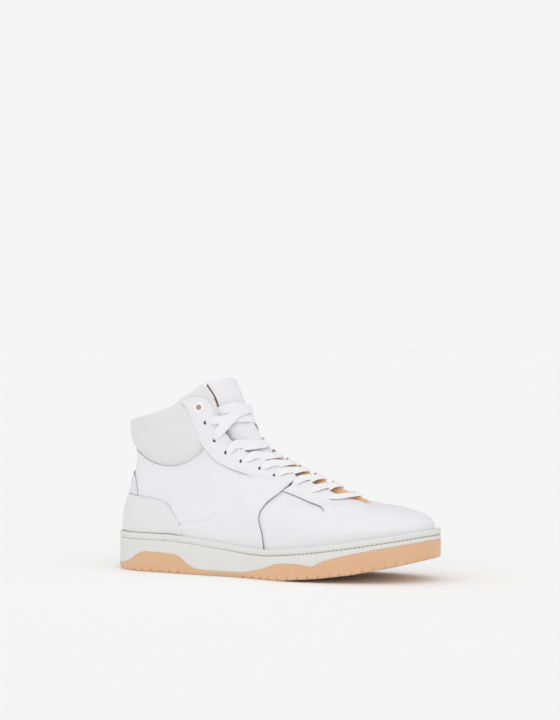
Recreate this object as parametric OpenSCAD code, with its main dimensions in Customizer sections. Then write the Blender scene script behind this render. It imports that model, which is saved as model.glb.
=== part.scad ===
// High-top basketball shoe, right foot, standing laced on a flat floor.
// +X points to the toe, -Y is the lateral (outer) side, +Z is up. The origin is on the flat tread.

/* [Sole] */
// Length of the sole from heel to toe
sole_len = 300; // [285:1:315]
// Distance from the heel's back to the origin on the tread
origin_x = 95; // [60:1:130]
// Thickness of the gum tread plate
tread_t = 4; // [3.5:0.1:5]
// Width of the gum rim that wraps up the side wall
rim_w = 2.6; // [2:0.1:3]
// Thickness of the cup's side wall at its lip
wall_t = 2.6; // [2:0.1:2.8]
// Width of the ledge that carries the insole board
ledge_w = 3.4; // [3:0.1:5]
// Thickness of the insole board
board_t = 1.6; // [1.2:0.1:2]
// Thickness of the removable sockliner
sockliner_t = 4; // [3:0.1:4.5]

/* [Upper] */
// Thickness of the main leather
leather_t = 1.4; // [1:0.1:1.6]
// Thickness of the stitched-on overlays
overlay_t = 1.2; // [1:0.1:1.6]
// Thickness of the linings and stiffeners
lining_t = 0.8; // [0.6:0.1:0.9]
// Gap kept under the overlays
layer_gap = 0.55; // [0.45:0.05:0.6]
// Gap kept between the inner layers
inner_gap = 0.6; // [0.55:0.05:0.7]
// Depth of the ankle padding
collar_pad = 4.5; // [3:0.1:5]
// Outward bulge of the padding under the collar's leather
collar_bulge = 1.6; // [0:0.1:2]
// Depth that the upper reaches down inside the cup
skirt = 7.5; // [6:0.1:7.6]

/* [Tongue and lacing] */
// Thickness of the tongue's padding
tongue_foam_t = 3.5; // [2:0.1:4]
// Height of the tongue's crown above the edges that lie under the stays
tongue_crown = 6.4; // [5:0.1:7]
// Width of the flat lace
lace_w = 7; // [5:0.1:7.4]
// Thickness of the flat lace
lace_t = 1.2; // [0.8:0.1:1.4]
// Radius of the punched lace holes
hole_r = 1.9; // [1.5:0.1:2.2]
// Outer radius of the ring eyelets
ring_r = 4.3; // [3.6:0.1:4.6]

/* [Hidden] */
$fn = 48;

kx = sole_len / 300;     // stretch of the shoe along X
ring_n = 80;             // points around a sole ring
// Depths from the upper's main surface, outwards positive
over_in = layer_gap;
over_out = over_in + overlay_t;
stiff_out = -leather_t - inner_gap;
stiff_in = stiff_out - lining_t;
line_out = stiff_in - inner_gap;
line_in = line_out - lining_t;
wing_lift = 0.2;         // extra gap under the wings, which lie over two layers
foam_t = 0.45;           // thickness of the collar foam at its thin edges
foam_fill = 0.86;        // share of the padding depth that the foam fills
foam_swell = 0.6;        // share of the outward bulge that the foam follows
// Groove for the thread under the cup's lip: depth, and heights below the lip
groove_depth = 1.2;
groove_top = 4.4;
groove_low = 6.4;
groove_bevel = 0.4;
thread_t = 0.6;          // thickness of the thread
thread_mid = 5.4;        // height of its middle below the lip
ring_t = 0.7;            // thickness of the ring eyelets

// --- curves ------------------------------------------------------------------------------------
function clamp01(t) = min(1, max(0, t));
function ease(a, b, x) = let (t = clamp01((x - a) / (b - a))) t * t * (3 - 2 * t);
function mix(a, b, t) = a + (b - a) * t;
function at(list, i) = list[max(0, min(len(list) - 1, i))];
function blend4(p0, p1, p2, p3, t) =
    let (m1 = (p2 - p0) / 2, m2 = (p3 - p1) / 2, t2 = t * t, t3 = t2 * t)
    (2 * t3 - 3 * t2 + 1) * p1 + (t3 - 2 * t2 + t) * m1 + (3 * t2 - 2 * t3) * p2 + (t3 - t2) * m2;
function curve(list, i, t) = blend4(at(list, i - 1), at(list, i), at(list, i + 1), at(list, i + 2), t);
function spline(list, f) =
    let (n = len(list) - 1, k = max(0, min(n, f)), i = min(n - 1, floor(k))) curve(list, i, k - i);

// --- sole heights along X (x counted from the heel, for a 300 mm sole) ---------------------------
LIP_Z = [[0, 33], [45, 33.5], [71, 33.5], [96, 31.4], [120, 28.9], [145, 26.4], [167, 25.6], [194, 28.2],
         [217, 30.9], [245, 35.1], [278, 40.8], [300, 45]];
TREAD_Z = [[0, 5], [3, 2], [7, 0.6], [12, 0], [180, 0], [194, 1.5], [217, 3.6], [245, 7.5], [278, 14.3],
           [300, 20.5]];
// Top edge of the gum: a window at the heel, a low arch, a hump under the ball and a high toe
GUM_Z = [[0, 5.5], [16, 5.8], [27, 9.4], [33, 13.7], [42, 17.6], [61, 17], [76, 15.9], [82, 13.1], [88, 7.8],
         [96, 4.6], [124, 4], [144, 4.6], [164, 8.8], [175, 13.1], [184, 14.7], [200, 15], [213, 13.1],
         [220, 17.7], [235, 22.1], [263, 28.5], [300, 35.5]];
function lip_z(x) = lookup(x, LIP_Z);
function tread_z(x) = lookup(x, TREAD_Z);
function gum_z(x) = max(lookup(x, GUM_Z), tread_z(x) + tread_t + 0.3);

// --- the last: one row per level, from inside the cup to the collar ------------------------------
// Columns: heel z, heel x, front z, front x, heel half width, waist half width lateral and medial,
// ball half width lateral and medial, toe shift, heel rounding, toe rounding start, toe exponent
LEVELS = [
    [8, 5, 20, 286, 32.5, 35, 30, 45, 42.5, 11, 0.15, 0.68, 2.2],
    [22, 3.5, 34, 291, 33.5, 36, 31, 46.5, 44, 11, 0.15, 0.68, 2.2],
    [38, 3.2, 45, 295, 34.5, 37, 32, 47.5, 45, 12, 0.15, 0.68, 2.2],
    [50, 4.5, 54, 289.5, 34, 36.5, 32.5, 45, 42.5, 12, 0.16, 0.66, 2.2],
    [61, 7, 60.5, 270, 32.5, 35, 32.5, 39, 37.5, 9.5, 0.18, 0.61, 2.1],
    [69, 9.5, 64.5, 238, 31.7, 34, 32, 35, 33.5, 7, 0.2, 0.57, 2.05],
    [76, 11, 74, 213, 31, 33, 31.5, 33, 31.5, 5, 0.22, 0.54, 2],
    [91, 14.5, 92, 172, 29, 30.5, 30, 30, 29, 3, 0.27, 0.5, 2],
    [104, 15.5, 110, 143, 29, 32, 31.5, 31, 30, 2, 0.33, 0.5, 2],
    [118, 12.5, 132, 129, 32, 35, 34.5, 32.5, 32, 1, 0.36, 0.5, 2],
    [133, 9.5, 160, 117, 34, 36.5, 36, 33, 33, 0, 0.38, 0.5, 2],
    [147, 9, 184, 107, 35, 37, 37, 33, 33, 0, 0.38, 0.5, 2]];

// Half width of a section at u, the fraction of its length from the heel
function half_width(u, heel, waist, ball, heel_u, toe_u, toe_e) =
    let (body = heel + (waist - heel) * ease(0.15, 0.42, u) + (ball - waist) * ease(0.42, 0.68, u),
         a = clamp01(u / heel_u),
         q = clamp01((u - toe_u) / (1 - toe_u)))
    body * sqrt(1 - (1 - a) * (1 - a)) * pow(max(0, 1 - pow(q, toe_e)), 1 / toe_e);

// Point of the upper's surface. Girth runs from 0 at the heel over the lateral side to 180 at the
// front ridge, and on to 360 over the medial side; level is a row of LEVELS, with fractions.
function skin(girth, level) =
    let (L = spline(LEVELS, level),
         u = (1 - cos(girth)) / 2,
         side = sin(girth) > 0 ? -1 : 1,
         w = half_width(u, L[4], side < 0 ? L[5] : L[6], side < 0 ? L[7] : L[8], L[10], L[11], L[12]))
    [kx * (L[1] + (L[3] - L[1]) * u), L[9] * ease(0.55, 1, u) + side * w, L[0] + (L[2] - L[0]) * u];
function skin_normal(girth, level) =
    let (a = skin(girth + 0.5, level) - skin(girth - 0.5, level),
         b = skin(girth, level + 0.03) - skin(girth, level - 0.03),
         n = cross(a, b))
    n / norm(n);
function layer(girth, level, depth) = skin(girth, level) + depth * skin_normal(girth, level);

// Level at which the upper is a given distance below the lip (negative: above it)
function feather(girth, below, lo = 0, hi = 4, n = 14) =
    n == 0 ? (lo + hi) / 2 :
    let (mid = (lo + hi) / 2, p = skin(girth, mid))
    p[2] > lip_z(p[0] / kx) - below ? feather(girth, below, lo, mid, n - 1)
                                    : feather(girth, below, mid, hi, n - 1);
function feather_line(from, to, below) =
    [for (i = [0:5]) let (g = mix(from, to, i / 5)) [g, feather(g, below)]];

// --- seam lines as [girth, level] ----------------------------------------------------------------
COLLAR_SEAM = [[0, 8.3], [20, 8.2], [38, 7.8], [51, 7.42], [62, 7.18], [72, 7.17], [82, 7.33], [92, 7.6],
               [100, 7.85], [108, 8.1], [120, 8.6], [134, 9.2]];
COLLAR_TOP = [[0, 9.85], [37, 9.86], [61, 9.84], [80, 9.85], [95, 9.9], [106, 10.12], [121, 10.25],
              [130, 10.35]];
COLLAR_FRONT = [[134, 9.2], [137, 9.6], [135, 9.81], [133, 10.08], [130, 10.35]];
QUARTER_TOP = concat([for (i = [0:10]) COLLAR_SEAM[i] - [0, 0.09]],
    [[130, 8.9], [135, 8.6], [139, 7.95], [146, 7.6], [152, 7.2], [155, 6.65]]);
QUARTER_FRONT = [[93.5, 2.2], [93, 2.7], [97, 3.7], [111, 5.04], [125, 6.01], [138, 6.36], [155, 6.65]];
THROAT = [[155, 6.65], [158, 6.45], [160, 6], [163, 5.5], [170, 5.1], [180, 4.95]];
STAY_REAR = [[131, 6.25], [122, 6.59], [112, 6.99], [108, 7.4], [108.5, 7.8], [108, 8.24], [109, 8.83],
             [108, 9.38], [107, 9.85], [104, 9.93]];
STAY_EDGE = [[155, 6.65], [152, 7.2], [146, 7.6], [139, 7.95], [135, 8.45], [133, 9.1], [131.5, 9.6]];
STAY_TOP = [[104, 9.93], [110, 10], [116, 10.04], [122, 9.99], [129, 9.85], [131.5, 9.6]];
WING_LOW = [[126, 5.95], [128, 5.65], [129, 5.14], [127, 4.48], [124, 3.96]];
COUNTER_TOP = [[0, 4.62], [20, 4.6], [34, 4.51], [45, 4.36], [52, 4.1], [55, 3.8]];
BACKSTAY_TOP = [[0, 6.72], [16, 6.6], [26, 6.39], [31, 6.1]];
// Lace holes from the top of the shoe to the toe; the first one is a ring eyelet
EYELETS = [[119, 9.64], [120, 9.11], [121, 8.39], [123, 7.81], [127, 7.36], [134, 7], [137, 6.69],
           [139, 6.31], [142, 5.93], [145, 5.44]];

// --- patches: a net of [girth, level] points between four seam lines -----------------------------
function run(c, i) = norm([(c[i + 1][0] - c[i][0]) * 0.6, (c[i + 1][1] - c[i][1]) * 14]);
function total(c, i = 0) = i > len(c) - 2 ? 0 : run(c, i) + total(c, i + 1);
function walk(c, d, i = 0) =
    let (r = run(c, i)) d <= r || i == len(c) - 2 ? curve(c, i, min(1, d / r)) : walk(c, d - r, i + 1);
function along(c, f) = walk(c, f * total(c));
function net(low, top, back, front, ns, nt) =
    let (lows = [for (i = [0:ns]) along(low, i / ns)],
         tops = [for (i = [0:ns]) along(top, i / ns)],
         backs = [for (j = [0:nt]) along(back, j / nt)],
         fronts = [for (j = [0:nt]) along(front, j / nt)])
    [for (i = [0:ns]) let (s = i / ns) [for (j = [0:nt]) let (t = j / nt)
        mix(lows[i], tops[i], t) + mix(backs[j], fronts[j], s)
        - mix(mix(lows[0], tops[0], t), mix(lows[ns], tops[ns], t), s)]];
function reverse(list) = [for (i = [len(list) - 1:-1:0]) list[i]];
function tail(list) = [for (i = [1:len(list) - 1]) list[i]];
// Mirror a net to the medial side, about the heel or about the front ridge
function medial(n, base) = [for (row = reverse(n)) [for (q = row) [base - q[0], q[1]]]];
function flip(q) = [360 - q[0], q[1]];
function around_heel(n) = concat(medial(tail(n), 0), n);
function around_toe(n) = concat(n, tail(medial(n, 360)));

// Closed solid between two point grids of the same size, the first one outside
module slab(outer, inner) {
    ni = len(outer);
    nj = len(outer[0]);
    base = ni * nj;
    function id(i, j) = i * nj + j;
    pts = concat([for (row = outer) for (p = row) p], [for (row = inner) for (p = row) p]);
    faces = concat(
        [for (i = [0:ni - 2]) for (j = [0:nj - 2]) each [
            [id(i, j), id(i, j + 1), id(i + 1, j + 1)],
            [id(i, j), id(i + 1, j + 1), id(i + 1, j)],
            [base + id(i, j), base + id(i + 1, j + 1), base + id(i, j + 1)],
            [base + id(i, j), base + id(i + 1, j), base + id(i + 1, j + 1)]]],
        [for (i = [0:ni - 2]) each [
            [id(i, 0), id(i + 1, 0), base + id(i + 1, 0)],
            [id(i, 0), base + id(i + 1, 0), base + id(i, 0)],
            [id(i, nj - 1), base + id(i + 1, nj - 1), id(i + 1, nj - 1)],
            [id(i, nj - 1), base + id(i, nj - 1), base + id(i + 1, nj - 1)]]],
        [for (j = [0:nj - 2]) each [
            [id(0, j), base + id(0, j + 1), id(0, j + 1)],
            [id(0, j), base + id(0, j), base + id(0, j + 1)],
            [id(ni - 1, j), id(ni - 1, j + 1), base + id(ni - 1, j + 1)],
            [id(ni - 1, j), base + id(ni - 1, j + 1), base + id(ni - 1, j)]]]);
    translate([-origin_x, 0, 0]) polyhedron(pts, faces);
}

// Padding depth of the collar: full in the middle of the ankle panel, none at its seam and front
function fold(girth) = let (g = abs(girth)) g > 180 ? 360 - g : g;
function pad(girth, level) =
    let (g = fold(girth), low = lookup(g, COLLAR_SEAM), t = clamp01((level - low) / (9.9 - low)))
    collar_pad * ease(0, 0.4, t) * (1 - 0.4 * ease(0.75, 1, t)) * (1 - ease(98, 122, g));

// Outward bulge of the padding, behind the stays
function bulge(girth, level) =
    collar_bulge * pad(girth, level) / collar_pad * (1 - ease(78, 98, fold(girth)));

// Sheet of the upper between two depths; the factors add padding and bulge to each face
module sheet(n, depth_out, depth_in, pads = [0, 0], bulges = [0, 0]) {
    function face(depth, k) = [for (row = n) [for (q = row)
        layer(q[0], q[1], depth + pads[k] * pad(q[0], q[1]) + bulges[k] * bulge(q[0], q[1]))]];
    slab(face(depth_out, 0), face(depth_in, 1));
}

// --- sole rings ----------------------------------------------------------------------------------
// Plan outline of the sole, moved inwards
function sole_xy(girth) =
    let (u = (1 - cos(girth)) / 2,
         side = sin(girth) > 0 ? -1 : 1,
         w = half_width(u, 39, side < 0 ? 41 : 35, side < 0 ? 52 : 50, 0.15, 0.68, 2.2))
    [sole_len * u, 12 * ease(0.55, 1, u) + side * w];
function sole_edge(girth, inset) =
    let (p = sole_xy(girth), d = sole_xy(girth + 0.4) - sole_xy(girth - 0.4), t = d / norm(d))
    p + inset * [-t[1], t[0]];
function ring(inset, z) =
    [for (k = [0:ring_n - 1])
        let (g = 360 * k / ring_n, p = sole_edge(g, inset)) [p[0], p[1], z(p[0] / kx)]];
// Ring just inside the upper, at a distance below the lip
function foot_ring(below, depth, z) =
    [for (k = [0:ring_n - 1])
        let (g = 360 * k / ring_n, p = layer(g, feather(fold(g), below), depth)) [p[0], p[1], z(p[0] / kx)]];

// Solid through a stack of rings, closed by strips that run across the sole at both ends
module ring_stack(rings) {
    n = len(rings[0]);
    m = len(rings);
    pts = [for (r = rings) for (p = r) p];
    top = (m - 1) * n;
    strips = [for (k = [0:n / 2 - 1]) let (a = k, b = k + 1, c = (n - k - 1) % n, d = (n - k) % n) [a, b, c, d]];
    faces = concat(
        [for (i = [0:m - 2]) for (k = [0:n - 1]) let (l = (k + 1) % n) each [
            [i * n + k, (i + 1) * n + l, i * n + l],
            [i * n + k, (i + 1) * n + k, (i + 1) * n + l]]],
        [for (q = strips) each concat(
            q[1] != q[2] ? [[q[0], q[1], q[2]], [top + q[0], top + q[2], top + q[1]]] : [],
            q[0] != q[3] ? [[q[0], q[2], q[3]], [top + q[0], top + q[3], top + q[2]]] : [])]);
    translate([-origin_x, 0, 0]) polyhedron(pts, faces);
}

module outsole()
    color("tan")
    ring_stack([
        ring(3, function (x) tread_z(x)),
        ring(0, function (x) tread_z(x) + 1.2),
        ring(0, function (x) gum_z(x)),
        ring(rim_w, function (x) gum_z(x)),
        ring(rim_w, function (x) tread_z(x) + tread_t)]);

module cupsole()
    color("whitesmoke")
    ring_stack([
        ring(rim_w + 0.2, function (x) tread_z(x) + tread_t + 0.1),
        ring(rim_w + 0.2, function (x) gum_z(x) + 0.6),
        ring(0, function (x) gum_z(x) + 0.6),
        ring(0, function (x) lip_z(x) - groove_low),
        ring(groove_depth, function (x) lip_z(x) - groove_low + groove_bevel),
        ring(groove_depth, function (x) lip_z(x) - groove_top - groove_bevel),
        ring(0, function (x) lip_z(x) - groove_top),
        ring(0, function (x) lip_z(x) - 0.8),
        ring(0.8, function (x) lip_z(x)),
        ring(wall_t, function (x) lip_z(x)),
        ring(wall_t, function (x) lip_z(x) - skirt - 2),
        ring(wall_t + ledge_w, function (x) lip_z(x) - skirt - 2),
        ring(wall_t + ledge_w, function (x) tread_z(x) + tread_t + 3)]);

// Closed thread that lies in the groove under the lip
module sole_stitching() {
    outside = 0.4;
    inside = outside + thread_t;
    low = thread_mid + thread_t / 2;
    high = thread_mid - thread_t / 2;
    loops = [ring(outside, function (x) lip_z(x) - low), ring(outside, function (x) lip_z(x) - high),
             ring(inside, function (x) lip_z(x) - high), ring(inside, function (x) lip_z(x) - low)];
    pts = [for (r = loops) for (p = r) p];
    color("darkkhaki")
    translate([-origin_x, 0, 0])
    polyhedron(pts, [for (i = [0:3]) for (k = [0:ring_n - 1])
        let (a = i * ring_n, b = ((i + 1) % 4) * ring_n, l = (k + 1) % ring_n)
        each [[a + k, b + l, a + l], [a + k, b + k, b + l]]]);
}

module midsole()
    color("gainsboro")
    ring_stack([
        ring(wall_t + ledge_w + 0.2, function (x) tread_z(x) + tread_t + 3.1),
        ring(wall_t + ledge_w + 0.2, function (x) lip_z(x) - skirt - 3.6)]);

// Stiffening strip under the arch, between the cushion and the insole board
module shank() {
    function row(x, z) = [for (y = [-8, 8]) [kx * x, y, lip_z(x) - skirt - z]];
    xs = [for (i = [0:10]) mix(72, 170, i / 10)];
    color("silver")
    slab([for (x = xs) row(x, 2)], [for (x = xs) row(x, 3.2)]);
}

module insole_board()
    color("burlywood")
    ring_stack([
        ring(wall_t + 0.6, function (x) lip_z(x) - skirt - 0.2 - board_t),
        ring(wall_t + 0.6, function (x) lip_z(x) - skirt - 0.2)]);

module sockliner()
    color("white")
    ring_stack([
        foot_ring(skirt - 1, line_in - 2.4, function (x) lip_z(x) - skirt + 0.2),
        foot_ring(skirt - sockliner_t, line_in - 2.4, function (x) lip_z(x) - skirt + sockliner_t)]);

// --- upper ---------------------------------------------------------------------------------------
function vamp_net(ns, nt, clear = 0.9) = around_toe(net(
    feather_line(97 + clear, 180, skirt), THROAT,
    concat([[97 + clear, feather(97 + clear, skirt)]], [for (q = QUARTER_FRONT) q + [clear, 0]]),
    [[180, feather(180, skirt)], [180, 3], [180, 4.95]], ns, nt));
function quarter_net(ns, nt) = net(
    feather_line(0, 97, skirt), QUARTER_TOP,
    [[0, feather(0, skirt)], [0, 4], QUARTER_TOP[0]],
    concat([[97, feather(97, skirt)]], QUARTER_FRONT), ns, nt);
function collar_net(ns, nt) = around_heel(net(COLLAR_SEAM, COLLAR_TOP, [[0, 8.3], [0, 9.85]], COLLAR_FRONT,
    ns, nt));
function stay_net(ns, nt) = reverse(net(STAY_REAR, STAY_EDGE, [[131, 6.25], [142, 6.42], [155, 6.65]], STAY_TOP,
    ns, nt));
module vamp() color("white") sheet(vamp_net(14, 8), 0, -leather_t);
module vamp_lining() color("linen") sheet(vamp_net(12, 7, 1.8), line_out, line_in);
module toe_puff()
    color("tan")
    sheet(around_toe(net(feather_line(128, 180, skirt), [[132, 2.6], [150, 3.4], [165, 3.7], [180, 3.8]],
        [[128, feather(128, skirt)], [132, 2.6]], [[180, feather(180, skirt)], [180, 3.8]], 8, 5)),
        stiff_out, stiff_in);
function half_wing() = net(WING_LOW, [for (q = THROAT) [min(q[0], 173), q[1]]],
    [[126, 5.95], [139, 6.3], [155, 6.65]], [[124, 3.96], [140, 4.25], [160, 4.6], [173, 4.95]], 8, 6);
module wing_lateral() color("white") sheet(half_wing(), over_out + wing_lift, over_in + wing_lift);
module wing_medial() color("white") sheet(medial(half_wing(), 360), over_out + wing_lift, over_in + wing_lift);
module quarter_lateral() color("white") sheet(quarter_net(16, 9), 0, -leather_t);
module quarter_medial() color("white") sheet(medial(quarter_net(16, 9), 360), 0, -leather_t);
module heel_stiffener()
    color("tan")
    sheet(around_heel(net(feather_line(0, 66, skirt - 0.5), [[0, 4.6], [35, 4.5], [55, 3.8]],
        [[0, feather(0, skirt - 0.5)], [0, 4.6]], [[66, feather(66, skirt - 0.5)], [60, 2.5], [55, 3.8]], 7, 6)),
        stiff_out, stiff_in + 0.1);
module heel_counter()
    color("whitesmoke")
    sheet(around_heel(net(feather_line(0, 62, -0.8), COUNTER_TOP, [[0, feather(0, -0.8)], [0, 4.62]],
        [[62, feather(62, -0.8)], [60, 2.3], [57.5, 3], [56, 3.5], [55, 3.8]], 9, 6)), over_out, over_in);
module backstay()
    color("whitesmoke")
    sheet(around_heel(net([[0, 4.72], [34, 4.62]], BACKSTAY_TOP, [[0, 4.72], [0, 6.72]],
        [[34, 4.62], [33, 5.4], [31, 6.1]], 5, 5)), over_out, over_in);
module quarter_lining()
    color("linen")
    sheet(around_heel(net(feather_line(0, 97, skirt),
        [[0, 9.82], [37, 9.83], [61, 9.82], [80, 9.83], [95, 9.88], [106, 10.1], [121, 10.22], [129, 10.2],
         [134, 9.8], [134, 9.2], [136, 8.45], [140, 7.95], [146, 7.55], [152, 7.15], [155, 6.65]],
        [[0, feather(0, skirt)], [0, 5], [0, 9.82]],
        concat([[97, feather(97, skirt)]], QUARTER_FRONT), 15, 15)), line_out, line_in, [-1, -1]);

// --- collar and stays ----------------------------------------------------------------------------
module collar_panel() color("gainsboro") sheet(collar_net(16, 6), 0, -leather_t, bulges = [1, 1]);
module collar_foam()
    color("lightyellow")
    sheet(collar_net(16, 6), stiff_out, stiff_out - foam_t, [0, -foam_fill], [foam_swell, 0]);

// Cylinder along the surface normal at a point of the upper
module on_skin(q, depth) {
    n = skin_normal(q[0], q[1]);
    translate(layer(q[0], q[1], depth) - [origin_x, 0, 0])
    rotate([0, acos(n[2]), atan2(n[1], n[0])])
        children();
}
module eyestay(base) {
    n = stay_net(10, 7);
    difference() {
        sheet(base == 0 ? n : medial(n, 360), over_out, over_in);
        for (q = EYELETS) on_skin(base == 0 ? q : flip(q), over_in - 1)
            cylinder(h = overlay_t + 2, r = hole_r);
    }
}
module eyestay_lateral() color("white") eyestay(0);
module eyestay_medial() color("white") eyestay(1);

// Flanged ring at the top hole of each stay
module eyelet_rings()
    color("lightgray")
    for (q = [EYELETS[0], flip(EYELETS[0])]) on_skin(q, over_out + 0.1)
        difference() {
            cylinder(h = ring_t, r = ring_r);
            translate([0, 0, -ring_t]) cylinder(h = 3 * ring_t, r = hole_r + 0.2);
        }

// --- tongue --------------------------------------------------------------------------------------
// Half girth of the throat opening and of the tongue at a level
GAP = [[4.95, 0], [5.1, 9], [5.5, 15.5], [6, 18.5], [6.65, 23], [7.2, 26], [7.6, 32], [7.95, 39], [8.45, 43],
       [9.2, 45], [10.4, 45]];
TONGUE_HALF = [[4.6, 22], [5.5, 26], [6.65, 33], [7.6, 41], [8.45, 45], [10.4, 43]];
edge_depth = line_in - 0.8;
function tongue_depth(side, level) =
    let (x = min(1, abs(side) * lookup(level, TONGUE_HALF) / max(1, lookup(level, GAP))))
    edge_depth + tongue_crown * pow(1 - x * x, 2) * ease(4.95, 5.7, level);
// Tongue net point: side from -1 (lateral edge) to 1, level, depth below the tongue's outer face
function tongue_point(side, level, below) =
    layer(180 + side * lookup(level, TONGUE_HALF), level, tongue_depth(side, level) - below);
module tongue_slab(low, high, below_out, below_in, nt, reach = 1)
    slab([for (i = [0:10]) [for (j = [0:nt]) let (v = mix(low, high, j / nt))
             tongue_point(reach * (i / 5 - 1), v, below_out(v))]],
         [for (i = [0:10]) [for (j = [0:nt]) let (v = mix(low, high, j / nt))
             tongue_point(reach * (i / 5 - 1), v, below_in(v))]]);
function foam_depth(v) = tongue_foam_t * ease(7.5, 8.2, v) * (1 - 0.6 * ease(9.9, 10.3, v));
module tongue_face() color("white") tongue_slab(7.62, 10.35, function (v) 0, function (v) 1.2, 8);
module tongue_base() color("navajowhite") tongue_slab(4.6, 7.55, function (v) 0, function (v) 1.2, 8);
module tongue_foam()
    color("lightyellow")
    tongue_slab(7.9, 10.25, function (v) 1.7, function (v) 1.7 + foam_depth(v), 7, 0.92);
module tongue_lining()
    color("navajowhite")
    tongue_slab(4.7, 10.32, function (v) 2.4 + foam_depth(v), function (v) 3.2 + foam_depth(v), 14, 0.95);

// --- lacing --------------------------------------------------------------------------------------
// Flat strap over the upper between two net points, with a depth for each of its stations
module strap(from, to, depth, width = lace_w, n = 10) {
    function mid(t) = layer(mix(from[0], to[0], t), mix(from[1], to[1], t), depth(t));
    function way(t) = let (d = mid(min(1, t + 0.02)) - mid(max(0, t - 0.02))) d / norm(d);
    function out(t) = skin_normal(mix(from[0], to[0], t), mix(from[1], to[1], t));
    function cross_row(t, lift) = let (c = cross(way(t), out(t)), w = c / norm(c))
        [for (s = [-1, 1]) mid(t) + lift * out(t) - s * width / 2 * w];
    slab([for (i = [0:n]) cross_row(i / n, lace_t / 2)], [for (i = [0:n]) cross_row(i / n, -lace_t / 2)]);
}
// Depths of the straps: on a stay, on the crown below and above another strap, and under a stay
lace_low = over_out + 0.5 + lace_t / 2;
under = edge_depth + tongue_crown + 1.9 + lace_t / 2;
over = under + lace_t + 0.8;
dive = -0.4;
tuck = line_in - 0.8 - lace_t / 2;   // depth of the loose ends inside the collar
end_from = [124, 9.5];   // net points of a loose end
end_to = [104, 9.1];
sheath_at = [94, 9];     // net point, length and radius of the sheaths
sheath_len = 18;
sheath_r = 1.2;
// Where the strap from hole k goes under the opposite stay
function stay_entry(k) =
    let (v = mix(EYELETS[k][1], EYELETS[k - 1][1], 0.8)) [180 + lookup(v, GAP) - 7, v];
function tucked(t) = let (q = mix(end_from, end_to, t)) tuck - pad(q[0], q[1]);

module lace()
    color("white") {
        // Straight bar over the lowest pair of holes
        strap([EYELETS[9][0] + 4, EYELETS[9][1]], [356 - EYELETS[9][0], EYELETS[9][1]],
              function (t) mix(lace_low, under, ease(0, 0.3, t) - ease(0.7, 1, t)));
        // Crossings: each strap leaves a hole, crosses the tongue and goes under the opposite stay
        for (k = [1:8]) {
            from = [EYELETS[k][0] + 4, EYELETS[k][1]];
            strap(from, stay_entry(k),
                  function (t) mix(mix(lace_low, under, ease(0, 0.3, t)), dive, ease(0.9, 1, t)));
            strap(flip(stay_entry(k)), flip(from),
                  function (t) mix(dive, mix(over, lace_low, ease(0.86, 1, t)), ease(0, 0.1, t)));
        }
        // Loose ends tucked inside the collar
        strap(end_from, end_to, function (t) tucked(t));
        strap(flip(end_to), flip(end_from), function (t) tucked(1 - t));
    }

// Plastic sheaths on the lace ends, lying against the lining
module aglets()
    color("white")
    for (q = [sheath_at, flip(sheath_at)])
        on_skin(q, tuck - 0.8 - pad(q[0], q[1]))
            rotate([0, 90, 0]) cylinder(h = sheath_len, r = sheath_r, center = true);

outsole();
cupsole();
sole_stitching();
midsole();
shank();
insole_board();
sockliner();
vamp();
toe_puff();
vamp_lining();
wing_lateral();
wing_medial();
quarter_lateral();
quarter_medial();
quarter_lining();
heel_stiffener();
heel_counter();
backstay();
collar_panel();
collar_foam();
eyestay_lateral();
eyestay_medial();
eyelet_rings();
tongue_face();
tongue_foam();
tongue_base();
tongue_lining();
lace();
aglets();
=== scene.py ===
# A white high-top basketball shoe dressed over its CAD frame: leather panels with real seams and
# stitches, padded collar and tongue, woven laces, a rubber cup with its thread and a gum tread.
# Lengths inside this file are millimetres, with x counted from the heel; frame_m() makes metres.
import math

import bpy
import numpy as np
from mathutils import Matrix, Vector


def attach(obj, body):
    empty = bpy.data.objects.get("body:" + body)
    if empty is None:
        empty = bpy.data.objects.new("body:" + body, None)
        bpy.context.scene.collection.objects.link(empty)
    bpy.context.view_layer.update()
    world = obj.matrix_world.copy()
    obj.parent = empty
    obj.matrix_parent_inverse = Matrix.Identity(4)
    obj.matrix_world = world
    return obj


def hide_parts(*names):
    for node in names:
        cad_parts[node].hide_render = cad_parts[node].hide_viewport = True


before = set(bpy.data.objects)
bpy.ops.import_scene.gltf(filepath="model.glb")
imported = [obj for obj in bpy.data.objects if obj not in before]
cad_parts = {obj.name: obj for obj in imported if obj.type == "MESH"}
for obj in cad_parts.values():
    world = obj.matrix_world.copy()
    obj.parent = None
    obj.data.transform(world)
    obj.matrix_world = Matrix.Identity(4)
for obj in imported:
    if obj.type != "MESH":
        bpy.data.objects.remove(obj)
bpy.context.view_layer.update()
ORIGIN_X = 95.0


def frame_m(points):
    return (np.asarray(points, float) - [ORIGIN_X, 0, 0]) * 0.001


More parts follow.
